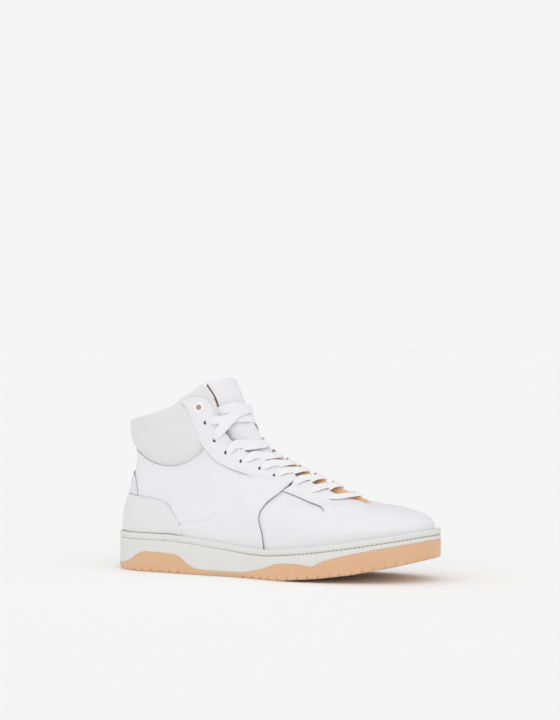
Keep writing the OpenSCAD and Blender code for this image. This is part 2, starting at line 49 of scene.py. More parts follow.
# --- the last: the surface of the upper over [girth in degrees, level] ---
LEVELS = np.array([
    [8, 5, 20, 286, 32.5, 35, 30, 45, 42.5, 11, 0.15, 0.68, 2.2],
    [22, 3.5, 34, 291, 33.5, 36, 31, 46.5, 44, 11, 0.15, 0.68, 2.2],
    [38, 3.2, 45, 295, 34.5, 37, 32, 47.5, 45, 12, 0.15, 0.68, 2.2],
    [50, 4.5, 54, 289.5, 34, 36.5, 32.5, 45, 42.5, 12, 0.16, 0.66, 2.2],
    [61, 7, 60.5, 270, 32.5, 35, 32.5, 39, 37.5, 9.5, 0.18, 0.61, 2.1],
    [69, 9.5, 64.5, 238, 31.7, 34, 32, 35, 33.5, 7, 0.2, 0.57, 2.05],
    [76, 11, 74, 213, 31, 33, 31.5, 33, 31.5, 5, 0.22, 0.54, 2],
    [91, 14.5, 92, 172, 29, 30.5, 30, 30, 29, 3, 0.27, 0.5, 2],
    [104, 15.5, 110, 143, 29, 32, 31.5, 31, 30, 2, 0.33, 0.5, 2],
    [118, 12.5, 132, 129, 32, 35, 34.5, 32.5, 32, 1, 0.36, 0.5, 2],
    [133, 9.5, 160, 117, 34, 36.5, 36, 33, 33, 0, 0.38, 0.5, 2],
    [147, 9, 184, 107, 35, 37, 37, 33, 33, 0, 0.38, 0.5, 2]], float)
LIP_Z = [[0, 33], [45, 33.5], [71, 33.5], [96, 31.4], [120, 28.9], [145, 26.4], [167, 25.6], [194, 28.2],
         [217, 30.9], [245, 35.1], [278, 40.8], [300, 45]]
TREAD_Z = [[0, 5], [3, 2], [7, 0.6], [12, 0], [180, 0], [194, 1.5], [217, 3.6], [245, 7.5], [278, 14.3],
           [300, 20.5]]
GUM_Z = [[0, 5.5], [16, 5.8], [27, 9.4], [33, 13.7], [42, 17.6], [61, 17], [76, 15.9], [82, 13.1], [88, 7.8],
         [96, 4.6], [124, 4], [144, 4.6], [164, 8.8], [175, 13.1], [184, 14.7], [200, 15], [213, 13.1],
         [220, 17.7], [235, 22.1], [263, 28.5], [300, 35.5]]
SKIRT = 7.5
LEATHER = 1.4
OVER_OUT = 1.75                     # outside of the overlays, above the last
LINE_OUT, LINE_IN = -3.4, -4.2      # both faces of the lining
CUT_WIDTH = 0.35                    # strip along a cut edge painted dark: the raw edge plus painted shade of the seam step
TOP_LEVEL = 9.9                     # level of the collar's top line


def lookup(x, table):
    table = np.asarray(table, float)
    return np.interp(x, table[:, 0], table[:, 1])


def smooth_table(table, reach):
    """The table as a finely spaced curve with its corners rounded."""
    x = np.linspace(-20, 320, 681)
    z = lookup(x, table)
    k = np.exp(-0.5 * (np.arange(-30, 31) * 0.5 / reach) ** 2)
    padded = np.pad(z, 30, mode="edge")
    return np.stack([x, np.convolve(padded, k / k.sum(), "valid")], 1)


LIP = smooth_table(LIP_Z, 5)
TREAD = np.asarray(TREAD_Z, float)
GUM = smooth_table(GUM_Z, 1.6)


def lip_z(x):
    return lookup(x, LIP)


def tread_z(x):
    return lookup(x, TREAD)


def gum_z(x):
    return np.maximum(lookup(x, GUM), tread_z(x) + 4.3)


def ease(a, b, x):
    t = np.clip((np.asarray(x, float) - a) / (b - a), 0, 1)
    return t * t * (3 - 2 * t)


def spline(rows, f):
    """Catmull-Rom through rows; f counts rows."""
    rows = np.asarray(rows, float)
    n = len(rows) - 1
    f = np.clip(np.asarray(f, float), 0, n)
    i = np.minimum(f.astype(int), n - 1)
    t = (f - i)[..., None]
    p0, p1 = rows[np.maximum(i - 1, 0)], rows[i]
    p2, p3 = rows[i + 1], rows[np.minimum(i + 2, n)]
    m1, m2 = (p2 - p0) / 2, (p3 - p1) / 2
    return ((2 * t**3 - 3 * t**2 + 1) * p1 + (t**3 - 2 * t**2 + t) * m1
            + (3 * t**2 - 2 * t**3) * p2 + (t**3 - t**2) * m2)


def half_width(u, heel, waist, ball, heel_u, toe_u, toe_e):
    body = heel + (waist - heel) * ease(0.15, 0.42, u) + (ball - waist) * ease(0.42, 0.68, u)
    a = np.clip(u / heel_u, 0, 1)
    q = np.clip((u - toe_u) / (1 - toe_u), 0, 1)
    return body * np.sqrt(1 - (1 - a) ** 2) * np.maximum(0, 1 - q**toe_e) ** (1 / toe_e)


def skin(girth, level):
    """Girth 0 at the heel, 0 to 180 lateral (-Y), 180 the front ridge, 180 to 360 medial."""
    girth, level = np.broadcast_arrays(np.asarray(girth, float), np.asarray(level, float))
    L = spline(LEVELS, level)
    u = (1 - np.cos(np.radians(girth))) / 2
    lateral = np.sin(np.radians(girth)) > 0
    w = half_width(u, L[..., 4], np.where(lateral, L[..., 5], L[..., 6]),
                   np.where(lateral, L[..., 7], L[..., 8]), L[..., 10], L[..., 11], L[..., 12])
    return np.stack([L[..., 1] + (L[..., 3] - L[..., 1]) * u,
                     L[..., 9] * ease(0.55, 1, u) + np.where(lateral, -1, 1) * w,
                     L[..., 0] + (L[..., 2] - L[..., 0]) * u], -1)


def skin_normal(girth, level):
    a = skin(girth + 0.5, level) - skin(girth - 0.5, level)
    b = skin(girth, level + 0.03) - skin(girth, level - 0.03)
    n = np.cross(a, b)
    return n / np.maximum(np.linalg.norm(n, axis=-1, keepdims=True), 1e-9)


def layer(girth, level, depth):
    girth, level = np.asarray(girth, float), np.asarray(level, float)
    return skin(girth, level) + np.asarray(depth, float)[..., None] * skin_normal(girth, level)


def fold(girth):
    g = np.abs(girth)
    return np.where(g > 180, 360 - g, g)


def feather(girth, below):
    """Level at which the upper is that far below the lip (negative: above it)."""
    girth = np.asarray(girth, float)
    lo, hi = np.zeros(girth.shape), np.full(girth.shape, 4.0)
    for _ in range(24):
        mid = (lo + hi) / 2
        p = skin(girth, mid)
        high = p[..., 2] > lip_z(p[..., 0]) - below
        hi, lo = np.where(high, mid, hi), np.where(high, lo, mid)
    return (lo + hi) / 2


def feather_line(a, b, below, n=12):
    g = np.linspace(a, b, n)
    return np.stack([g, feather(g, below)], 1)


# --- seam lines as [girth, level] ---
COLLAR_SEAM = np.array([[0, 8.3], [20, 8.2], [38, 7.8], [51, 7.42], [62, 7.18], [72, 7.17], [82, 7.33],
                        [92, 7.6], [100, 7.85], [108, 8.1], [120, 8.6], [134, 9.2]])
COLLAR_TOP = np.array([[0, 9.85], [37, 9.86], [61, 9.84], [80, 9.85], [95, 9.9], [106, 10.12], [121, 10.27],
                       [130, 10.4]])
COLLAR_FRONT = np.array([[134, 9.2], [137.2, 9.6], [136.2, 9.84], [133.8, 10.11], [130, 10.4]])
THROAT = np.array([[155, 6.65], [158, 6.45], [160, 6], [163, 5.5], [170, 5.1], [180, 4.95]])
QUARTER_TOP = np.concatenate([COLLAR_SEAM[:11] - [0, 0.09],
                              [[130, 8.9], [135, 8.6], [139, 7.95], [146, 7.6], [152, 7.2], [155, 6.65]]])
QUARTER_FRONT = np.array([[97, feather(97.0, SKIRT)], [94.6, 1.9], [93.4, 2.5], [94, 3.1], [97, 3.75],
                          [103, 4.4], [112, 5.17], [123.5, 5.95], [138, 6.36], [155, 6.65]])
STAY_REAR = np.array([[131, 6.25], [122, 6.59], [112, 6.99], [108, 7.4], [108.5, 7.8], [108, 8.24],
                      [109, 8.83], [108, 9.38], [107, 9.85], [104, 9.93]])
STAY_EDGE = np.array([[155, 6.65], [152, 7.2], [146, 7.6], [139, 7.95], [135, 8.45], [133, 9.1], [131.5, 9.6]])
STAY_TOP = np.array([[104, 9.93], [110, 10], [116, 10.04], [122, 9.99], [129, 9.85], [131.5, 9.6]])
STAY_FRONT = np.array([[131, 6.25], [142, 6.42], [155, 6.65]])
WING_LOW = np.array([[126, 5.95], [128.5, 5.65], [130, 5.2], [128.5, 4.65], [125, 4.05], [122.5, 3.5]])
WING_FRONT = [[122.5, 3.5], [138, 4.0], [158, 4.5], [173, 4.95]]
COUNTER_TOP = np.array([[0, 4.62], [20, 4.6], [34, 4.51], [45, 4.36], [52, 4.1], [55, 3.8]])
COUNTER_FRONT = np.array([[62, feather(62.0, -0.8)], [60, 2.3], [57.5, 3], [56, 3.5], [55, 3.8]])
BACKSTAY_TOP = np.array([[0, 6.72], [16, 6.6], [26, 6.39], [31, 6.1]])
BACKSTAY_FRONT = np.array([[34, 4.62], [33, 5.4], [31, 6.1]])
EYELETS = [[119, 9.64], [120, 9.11], [121, 8.39], [123, 7.81], [127, 7.36], [134, 7], [137, 6.69],
           [139, 6.31], [142, 5.93], [145, 5.44]]
# A soft crease on each side of the quarter
CREASE = np.array([[60, 2.23], [64, 2.24], [68, 2.38], [73, 2.62], [77, 3.05]])


def along(line, f):
    """Points of a seam line at fractions f of its length."""
    line = np.asarray(line, float)
    run = np.linalg.norm(np.diff(line, axis=0) * [0.6, 14], axis=1)
    ends = np.r_[0, np.cumsum(run)]
    d = np.clip(np.asarray(f, float), 0, 1) * ends[-1]
    i = np.clip(np.searchsorted(ends, d, side="right") - 1, 0, len(run) - 1)
    return spline(line, i + np.clip((d - ends[i]) / run[i], 0, 1))


def net(low, top, back, front, s, t):
    """Patch of [girth, level] points between four seam lines."""
    lows, tops = along(low, s)[:, None], along(top, s)[:, None]
    backs, fronts = along(back, t)[None], along(front, t)[None]
    S, T = np.asarray(s)[:, None, None], np.asarray(t)[None, :, None]
    corners = ((1 - S) * ((1 - T) * lows[:1] + T * tops[:1]) + S * ((1 - T) * lows[-1:] + T * tops[-1:]))
    return (1 - T) * lows + T * tops + (1 - S) * backs + S * fronts - corners


def medial(n, base):
    out = n[::-1].copy()
    out[..., 0] = base - out[..., 0]
    return out


def around_heel(n):
    return np.concatenate([medial(n[1:], 0), n])


def around_toe(n):
    return np.concatenate([n, medial(n[:-1], 360)])


NEAR = np.array([0, 0.1, 0.3, 0.6, 1.0, 1.5, 2.0, 2.5, 3.1, 4.0])


def fractions(n, length, start=True, end=True):
    """Fractions 0 to 1 in n steps, with extra lines close to the free ends."""
    base = np.linspace(0, 1, n + 1)
    near = NEAR / length
    if start:
        base = np.r_[near, base[base > near[-1] * 1.15]]
    if end:
        base = np.r_[base[base < 1 - near[-1] * 1.15], (1 - near)[::-1]]
    return base


def soften(line, reach=4.0):
    """The seam line as an even run of points with its corners rounded; the ends stay."""
    q = along(line, np.linspace(0, 1, 81))
    k = np.exp(-0.5 * (np.arange(-16, 17) / reach) ** 2)
    before, after = 2 * q[0] - q[16:0:-1], 2 * q[-1] - q[-2:-18:-1]
    q = np.concatenate([before, q, after])
    return np.stack([np.convolve(q[:, c], k / k.sum(), "valid") for c in (0, 1)], 1)


QUARTER_FRONT = soften(QUARTER_FRONT)
WING_LOW = soften(WING_LOW)
STAY_REAR = soften(STAY_REAR, 2.0)

# --- meshes ---
def make(name, points, faces, mat, replaces=(), body="shoe", angle=50, uv=None):
    """A smooth piece from points in mm, riding on its body; edges sharper than angle stay sharp."""
    mesh = bpy.data.meshes.new(name)
    mesh.from_pydata(frame_m(points).tolist(), [], [list(map(int, f)) for f in faces])
    mesh.validate()
    mesh.polygons.foreach_set("use_smooth", [True] * len(mesh.polygons))
    if uv is not None:
        data = mesh.uv_layers.new(name="UVMap").data
        loops = np.empty(len(mesh.loops), np.int32)
        mesh.loops.foreach_get("vertex_index", loops)
        data.foreach_set("uv", np.asarray(uv, np.float32)[loops].ravel())
    obj = bpy.data.objects.new(name, mesh)
    bpy.context.scene.collection.objects.link(obj)
    if angle:
        mesh.set_sharp_from_angle(angle=math.radians(angle))
    mesh.materials.append(mat)
    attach(obj, body)
    if replaces:
        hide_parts(*replaces)
    return obj


def slab_faces(ni, nj):
    """Faces of a closed solid between two ni x nj grids, the outer one first."""
    def at(i, j):
        return i * nj + j
    base = ni * nj
    I, J = np.meshgrid(np.arange(ni - 1), np.arange(nj - 1), indexing="ij")
    a, b, c, d = at(I, J), at(I + 1, J), at(I + 1, J + 1), at(I, J + 1)
    outer = np.stack([a, b, c, d], -1).reshape(-1, 4)
    inner = outer[:, ::-1] + base
    i, j = np.arange(ni - 1), np.arange(nj - 1)
    rims = [np.stack([at(i + 1, 0), at(i, 0), at(i, 0) + base, at(i + 1, 0) + base], -1),
            np.stack([at(i, nj - 1), at(i + 1, nj - 1), at(i + 1, nj - 1) + base, at(i, nj - 1) + base], -1),
            np.stack([at(0, j), at(0, j + 1), at(0, j + 1) + base, at(0, j) + base], -1),
            np.stack([at(ni - 1, j + 1), at(ni - 1, j), at(ni - 1, j) + base, at(ni - 1, j + 1) + base], -1)]
    return np.concatenate([outer, inner] + rims)


def tube_faces(m, k, base=0, around=False, caps=True, first=0):
    """Faces of a tube of m rings of k points. around joins the last ring to the first; first turns the corner
    that each quad starts at, and so the diagonal it is split along."""
    ids = base + np.arange(m * k).reshape(m, k)
    beside = np.roll(ids, -1, 1)
    corners = np.stack([ids, beside, np.roll(beside, -1, 0), np.roll(ids, -1, 0)], -1)
    quads = np.roll(corners[:m if around else m - 1], first, -1).reshape(-1, 4).tolist()
    return quads if around or not caps else quads + [ids[0, ::-1].tolist(), ids[-1].tolist()]


def inside_out(faces):
    """The same faces seen from the other side, each still starting at its own point."""
    return [f[:1] + f[:0:-1] for f in faces]


def edge_distance(points, edges):
    """Distance in mm from each grid point to the nearest named edge: w(est), e(ast), s(outh), n(orth)."""
    lines = {"w": points[0], "e": points[-1], "s": points[:, 0], "n": points[:, -1]}
    flat = points.reshape(-1, 3)
    best = np.full(len(flat), 1e9)
    for e in edges:
        a, b = lines[e][:-1], lines[e][1:]
        ab = b - a
        size = np.maximum((ab * ab).sum(1), 1e-12)
        for start in range(0, len(flat), 2000):
            p = flat[start:start + 2000]
            t = np.clip(((p[:, None] - a) * ab).sum(-1) / size, 0, 1)
            q = a + t[..., None] * ab
            best[start:start + 2000] = np.minimum(best[start:start + 2000],
                                                  np.linalg.norm(p[:, None] - q, axis=-1).min(1))
    return best.reshape(points.shape[:2])


def two_tone(obj, second, chosen, faces):
    """Gives a second material to the faces whose points are all chosen."""
    obj.data.materials.append(second)
    obj.data.polygons.foreach_set("material_index", chosen[faces].all(1).astype(np.int32))


def waves(points, seed, size=38.0, *, height):
    """Soft low waviness, as in real leather."""
    r = np.random.default_rng(seed)
    total = np.zeros(points.shape[:-1])
    for _ in range(7):
        k = r.normal(size=3)
        k *= 2 * math.pi / (np.linalg.norm(k) * size * r.uniform(0.6, 1.7))
        total += np.sin(points @ k + r.uniform(0, 6.28)) / 3.2
    return height * total


def pad(girth, level):
    """Collar padding, 0 to 1: full in the middle of the ankle, none at the seam and the front."""
    g = fold(girth)
    low = lookup(g, COLLAR_SEAM)
    t = np.clip((level - low) / (TOP_LEVEL - low), 0, 1)
    return ease(0, 0.45, t) * (1 - ease(98, 122, g))


def given(value, g, v):
    """A depth or thickness over a net, from a number or a function of girth and level."""
    return value(g, v) if callable(value) else np.full(g.shape, float(value))


def panel(name, n, depth, thick, edges, mat, slot, replaces, seed, rounding=0.7, groove=(), relief=None,
          height=0.22, cut_shade_edges="", finish=None):
    """A leather piece over a net: free edges rounded, grooves at these distances from them, soft waves, closed
    at the back. The edges named for the cut get a darker strip: the raw cut edge plus painted shade of the seam
    step."""
    g, v = n[..., 0], n[..., 1]
    base = skin(g, v)
    E = edge_distance(base, edges)
    d = given(depth, g, v) + waves(base, seed, height=height) * ease(2, 12, E)
    if relief is not None:
        d = d + relief(g, v)
    th = given(thick, g, v)
    r = np.minimum(rounding, th)
    q = np.clip(1 - E / np.maximum(r, 1e-3), 0, 1)
    outer = d - r * (1 - np.sqrt(np.maximum(0, 1 - q * q)))
    for at in groove:
        outer = outer - 0.3 * np.exp(-(((E - at) / 0.55) ** 2))
    inner = np.minimum(outer - 0.05, d - th)
    points = np.concatenate([layer(g, v, outer).reshape(-1, 3), layer(g, v, inner).reshape(-1, 3)])
    faces = slab_faces(*g.shape)
    obj = make(name, points, faces, mat, replaces=replaces)
    if cut_shade_edges:
        # Cut edge painted dark, the raw edge plus painted seam shade: the outermost strip along these edges, where
        # the piece has its full thickness
        R = edge_distance(base, cut_shade_edges)
        shown = [((R < CUT_WIDTH) & (th > 0.45)).ravel(), (R < 1e-6).ravel()]
        two_tone(obj, finish or CUT_EDGE_SHADE, np.concatenate(shown), faces)
    return obj


def pair(kind, n, depth, thick, edges, seed, cut_shade_edges="s", **more):
    """A leather panel on the lateral side and its mirror image on the medial side."""
    swap = str.maketrans("we", "ew")
    sides = (("lateral", n, edges, cut_shade_edges), ("medial", medial(n, 360), edges.translate(swap), cut_shade_edges.translate(swap)))
    return [panel(f"{kind}_leather_{side}", grid, depth, thick, free, WHITE, "white_leather", [f"{kind}_{side}"],
                  seed=seed + i, cut_shade_edges=cut, **more) for i, (side, grid, free, cut) in enumerate(sides)]


def inset_path(line, distance, side, spacing):
    """Points evenly spaced along a seam line, moved sideways over the surface. side +1: towards growing
    level for a line that runs with the girth."""
    q = along(line, np.linspace(0, 1, 400))
    p = skin(q[:, 0], q[:, 1])
    n = skin_normal(q[:, 0], q[:, 1])
    t = np.gradient(p, axis=0)
    t /= np.linalg.norm(t, axis=1, keepdims=True)
    w = np.cross(n, t) * distance * side
    dg = (skin(q[:, 0] + 0.5, q[:, 1]) - skin(q[:, 0] - 0.5, q[:, 1]))
    dv = (skin(q[:, 0], q[:, 1] + 0.03) - skin(q[:, 0], q[:, 1] - 0.03)) / 0.06
    a, b, c = (dg * dg).sum(1), (dg * dv).sum(1), (dv * dv).sum(1)
    x, y = (dg * w).sum(1), (dv * w).sum(1)
    det = np.maximum(a * c - b * b, 1e-9)
    q = q + np.stack([(c * x - b * y) / det, (a * y - b * x) / det], 1)
    p = skin(q[:, 0], q[:, 1])
    s = np.r_[0, np.cumsum(np.linalg.norm(np.diff(p, axis=0), axis=1))]
    count = max(2, int(s[-1] / spacing))
    where = (np.arange(count) + 0.5) * s[-1] / count
    return np.stack([np.interp(where, s, q[:, 0]), np.interp(where, s, q[:, 1])], 1)


def stitches(name, rows, mat, replaces=(), length=2.1, radius=0.33):
    """One mesh of short sunk threads. rows: list of (points, directions, normals)."""
    ring = np.linspace(0, 2 * math.pi, 8, endpoint=False)
    stations = np.array([[-1, 0.35], [-0.8, 0.85], [0, 1.0], [0.8, 0.85], [1, 0.35]])
    points, faces = [], []
    for P, D, N in rows:
        for p, d, n in zip(P, D, N):
            faces += tube_faces(len(stations), len(ring), len(points))
            w = np.cross(n, d)
            for x, r in stations:
                c = p + d * x * length / 2
                for a in ring:
                    points.append(c + radius * r * (math.cos(a) * w * 1.15 + math.sin(a) * n * 0.8))
    make(name, np.array(points), faces, mat, replaces=replaces, angle=0)


def seam_row(line, distance, side, depth, mirror, spacing=2.9):
    """A row of stitches along a seam line and its medial copy; mirror is the sum of both girths."""
    q = inset_path(line, distance, side, spacing)
    out = []
    for copy in (q, np.stack([mirror - q[:, 0], q[:, 1]], 1)):
        g, v = copy.T
        p = layer(g, v, given(depth, g, v))
        t = np.gradient(p, axis=0)
        t /= np.linalg.norm(t, axis=1, keepdims=True)
        out.append((p, t, skin_normal(g, v)))
    return out


# --- materials ---
def srgb(r, g, b):
    return [((c / 255) / 12.92 if c <= 10 else ((c / 255 + 0.055) / 1.055) ** 2.4) for c in (r, g, b)] + [1]


class Tree:
    """A node tree in short: add() makes a node, links the inputs given as sockets and sets the others."""

    def __init__(self, owner):
        owner.use_nodes = True
        self.nodes, self.links = owner.node_tree.nodes, owner.node_tree.links

    def put(self, value, socket):
        if isinstance(value, bpy.types.NodeSocket):
            self.links.new(value, socket)
        else:
            socket.default_value = value

    def add(self, kind, out, settings=None, **inputs):
        made = self.nodes.new("ShaderNode" + kind)
        for key, value in (settings or {}).items():
            setattr(made, key, value)
        for key, value in inputs.items():
            self.put(value, made.inputs[key.replace("_", " ")])
        return made.outputs[out]

    def calc(self, operation, *values, kind="Math", out=0):
        made = self.nodes.new("ShaderNode" + kind)
        made.operation = operation
        for value, socket in zip(values, made.inputs):
            self.put(value, socket)
        return made.outputs[out]

    def noise(self, coords, scale, detail=2.0, out="Fac"):
        return self.add("TexNoise", out, Scale=scale, Detail=detail, Vector=coords)

    def bump(self, height, distance, strength, **before):
        """Bump on the surface; Normal=... adds it over an earlier bump."""
        normal = self.add("Bump", "Normal", Distance=distance, Strength=strength, Height=height, **before)
        self.put(normal, self.nodes["Principled BSDF"].inputs["Normal"])
        return normal


def material(name, color, rough, build, spread, shine=0.5, **values):
    """Leather, cloth or rubber of an sRGB colour; build(tree, coords) adds the fine structure."""
    color = srgb(*color)
    mat = bpy.data.materials.new(name)
    tree = Tree(mat)
    values = {"Base Color": color, "Roughness": rough, "Specular IOR Level": shine, **values}
    surface = tree.nodes["Principled BSDF"].inputs
    for key, value in values.items():
        surface[key.replace("_", " ")].default_value = value
    coords = tree.add("TexCoord", "Object")
    # Slow change of tone and gloss over the piece
    cloud = tree.noise(coords, 35, 4)
    low, high = ([min(1, c * k) for c in color[:3]] + [1] for k in (1 - spread, 1 + spread))
    tree.put(tree.add("Mix", "Result", {"data_type": "RGBA"}, A=low, B=high, Factor=cloud), surface["Base Color"])
    tree.put(tree.add("MapRange", "Result", To_Min=rough - 0.06, To_Max=rough + 0.06, Value=cloud),
             surface["Roughness"])
    build(tree, coords)
    return mat


def leather_grain(cell=1100, distance=0.00012, strength=0.35):
    def build(tree, coords):
        warped = tree.calc("MULTIPLY_ADD", tree.noise(coords, cell * 0.4, out="Color"), (0.0012,) * 3, coords,
                           kind="VectorMath")
        pebble = tree.add("TexVoronoi", "Distance", {"feature": "SMOOTH_F1"}, Scale=cell, Vector=warped)
        fine = tree.bump(pebble, distance, strength)
        tree.bump(tree.noise(coords, 260, 6), 0.0003, 0.18, Normal=fine)
    return build


def weave(scale, distance, strength, uv=False, ratio=1.0):
    """Crossed threads: along UV for tapes, along the object's axes for cloth."""
    def build(tree, coords):
        source = tree.add("TexCoord", "UV") if uv else coords
        threads = [tree.add("TexWave", "Fac", {"wave_type": "BANDS", "bands_direction": axis}, Scale=size,
                            Distortion=0.15, Vector=source) for axis, size in (("X", scale), ("Y", scale * ratio))]
        first = tree.bump(tree.calc("MULTIPLY", *threads), distance, strength)
        tree.bump(tree.noise(coords, 2200, 3), 0.0001, 0.3, Normal=first)
    return build


def speckle(scale, distance, strength):
    def build(tree, coords):
        tree.bump(tree.noise(coords, scale, 5), distance, strength)
    return build


def herringbone(tree, coords):
    """Zigzag tread ribs, cut only on faces that look down."""
    split = tree.add("SeparateXYZ", "X", Vector=coords).node.outputs
    zig = tree.calc("PINGPONG", split["Y"], 0.006)
    rib = tree.calc("SINE", tree.calc("MULTIPLY", tree.calc("ADD", split["X"], zig), 2 * math.pi / 0.0055))
    cut = tree.add("Clamp", 0, Min=-1, Value=tree.calc("MULTIPLY", rib, 6))
    facing = tree.add("SeparateXYZ", "Z", Vector=tree.add("NewGeometry", "True Normal"))
    down = tree.calc("GREATER_THAN", tree.calc("MULTIPLY", facing, -1), 0.8)
    first = tree.bump(tree.calc("MULTIPLY", cut, down), 0.0012, 0.9)
    tree.bump(tree.noise(coords, 700, 4), 0.00012, 0.25, Normal=first)


WHITE = material("white_leather_skin", (235, 235, 237), 0.5, leather_grain(), 0.012, shine=0.35)
COLLAR_WHITE = material("collar_leather_skin", (228, 228, 229), 0.55, leather_grain(900, 0.00015, 0.4), 0.015,
                        shine=0.3)
HEEL_WHITE = material("counter_leather_skin", (230, 230, 231), 0.48, leather_grain(1300, 0.0001, 0.3), 0.012,
                      shine=0.35)
# Cut edges of the leather in grey: the raw edge plus painted shade of the seam step beside it; the eyestay's a
# lighter grey
CUT_EDGE_SHADE = material("cut_edge_painted_shade", (150, 147, 143), 0.8, speckle(2500, 0.0001, 0.4), 0.06, shine=0.2)
STAY_CUT_SHADE = material("stay_cut_edge_painted_shade", (182, 180, 177), 0.8, speckle(2500, 0.0001, 0.4), 0.05, shine=0.2)
# Tongue side edges: tan leather darkened with painted shade for the slit beside the collar
TONGUE_EDGE_SHADE = material("tongue_edge_tan_and_painted_shade", (138, 118, 92), 0.9, speckle(1200, 0.0002, 0.5), 0.1, shine=0.2)
TAN = material("tan_leather_skin", (232, 188, 144), 0.62, leather_grain(1000, 0.00015, 0.5), 0.05, shine=0.3)
LINING = material("lining_cloth", (214, 206, 196), 0.85, weave(900, 0.0001, 0.4), 0.03, shine=0.2, Sheen_Weight=0.15)
SOCK = material("sockliner_cloth", (222, 205, 182), 0.8, weave(800, 0.0001, 0.4), 0.04, shine=0.2, Sheen_Weight=0.1)
BOARD = material("fibre_board", (180, 152, 112), 0.9, speckle(500, 0.0003, 0.5), 0.08)
RUBBER = material("cup_rubber_skin", (225, 225, 222), 0.62, speckle(1500, 0.00012, 0.35), 0.012, shine=0.35)
GUM_SKIN = material("gum_rubber_skin", (226, 184, 146), 0.42, herringbone, 0.05, shine=0.4, Subsurface_Weight=0.35,
                    Subsurface_Scale=0.004)
CUSHION = material("midsole_foam_skin", (225, 225, 225), 0.9, speckle(1200, 0.0002, 0.5), 0.02)
STEEL = material("shank_steel_skin", (150, 150, 152), 0.35, speckle(3000, 0.00005, 0.3), 0.05, Metallic=1.0)
THREAD = material("white_thread", (236, 236, 236), 0.7, speckle(4000, 0.0001, 0.6), 0.03)
SOLE_THREAD = material("waxed_thread", (158, 150, 128), 0.6, speckle(4000, 0.0001, 0.6), 0.08)
LACE = material("lace_cotton_weave", (242, 242, 244), 0.85, weave(0.32, 0.00016, 0.55, uv=True, ratio=1.6), 0.015,
                shine=0.2, Sheen_Weight=0.2)
RING = material("ring_lacquer", (249, 247, 243), 0.35, speckle(900, 0.00004, 0.2), 0.03)
# Painted shade for the lace holes: dark discs seen down them
SHADE = material("hole_painted_shade", (92, 78, 70), 0.9, speckle(900, 0.0001, 0.3), 0.05)
# Painted shade for the ring eyelet's hole
RING_SHADE = material("ring_hole_painted_shade", (186, 168, 158), 0.9, speckle(900, 0.0001, 0.3), 0.05)
SHEATH = material("sheath_plastic", (240, 240, 240), 0.2, speckle(600, 0.00003, 0.2), 0.02)


# --- sole ---
def sole_xy(girth):
    u = (1 - np.cos(np.radians(girth))) / 2
    lateral = np.sin(np.radians(girth)) > 0
    w = half_width(u, 39, np.where(lateral, 41, 35), np.where(lateral, 52, 50), 0.15, 0.68, 2.2)
    return np.stack([300 * u, 12 * ease(0.55, 1, u) + np.where(lateral, -1, 1) * w], -1)


def even_girths(count):
    """Girths that space points evenly around the sole, starting at the heel."""
    g = np.linspace(0, 360, 7201)
    p = sole_xy(g)
    s = np.r_[0, np.cumsum(np.linalg.norm(np.diff(p, axis=0), axis=1))]
    return np.interp(np.arange(count) * s[-1] / count, s, g), s[-1]


def sole_edge(girth, inset):
    p = sole_xy(girth)
    d = sole_xy(girth + 0.4) - sole_xy(girth - 0.4)
    t = d / np.linalg.norm(d, axis=-1, keepdims=True)
    return p + np.asarray(inset, float)[..., None] * np.stack([-t[..., 1], t[..., 0]], -1)


def ring_solid(name, girths, rings, mat, replaces, angle):
    """Solid through rings around the sole, each given by its inset, a line along x and its rise above that."""
    points = []
    for inset, line, rise in rings:
        p = sole_edge(girths, inset)
        points.append(np.column_stack([p, line(p[:, 0]) + rise]))
    return stack(name, points, mat, replaces, angle)


def stack(name, rings, mat, replaces, angle, body="shoe"):
    """Solid through rings of points, closed by strips across the first and the last one."""
    n, top = len(rings[0]), (len(rings) - 1) * len(rings[0])
    faces = tube_faces(len(rings), n, caps=False, first=1)
    for k in range(n // 2):
        strip = list(dict.fromkeys([k, (n - k) % n, n - k - 1, k + 1]))
        faces += [strip, [top + q for q in strip[::-1]]]
    return make(name, np.concatenate(rings), faces, mat, body=body, replaces=replaces, angle=angle)


girths, perimeter = even_girths(1600)
step = perimeter / len(girths)
where = np.arange(len(girths)) * step
plan = sole_xy(girths)
# Notches of the tread pattern along the bottom edge, none at the arch
notch = np.exp(-(((where % 9.4) - 4.7) / 0.75) ** 4)
notch *= 1 - ease(78, 92, plan[:, 0]) * (1 - ease(128, 142, plan[:, 0]))
# Moulded upright ribs on the gum under the ball
rib = 0.35 * np.exp(-(((where % 4.6) - 2.3) / 0.7) ** 2)
rib *= ease(158, 172, plan[:, 0]) * (1 - ease(206, 216, plan[:, 0]))
ring_solid("outsole_gum", girths, [
    (3.0, tread_z, 0), (1.0 + 1.6 * notch, tread_z, 0), (0.35 + 1.8 * notch, tread_z, 0.35),
    (1.7 * notch, tread_z, 1.1), (-0.05 + 0.9 * notch, tread_z, 1.9), (-0.1 + rib, tread_z, 2.6),
    (-0.2 + rib, lambda x: tread_z(x) * 0.5 + gum_z(x) * 0.5, 0), (-0.15 + rib, gum_z, -1.2),
    (-0.05 + 0.5 * rib, gum_z, -0.4), (0.2, gum_z, 0.1), (0.8, gum_z, 0.35), (2.6, gum_z, 0.35),
    (2.6, tread_z, 4)], GUM_SKIN, ["outsole"], 50)

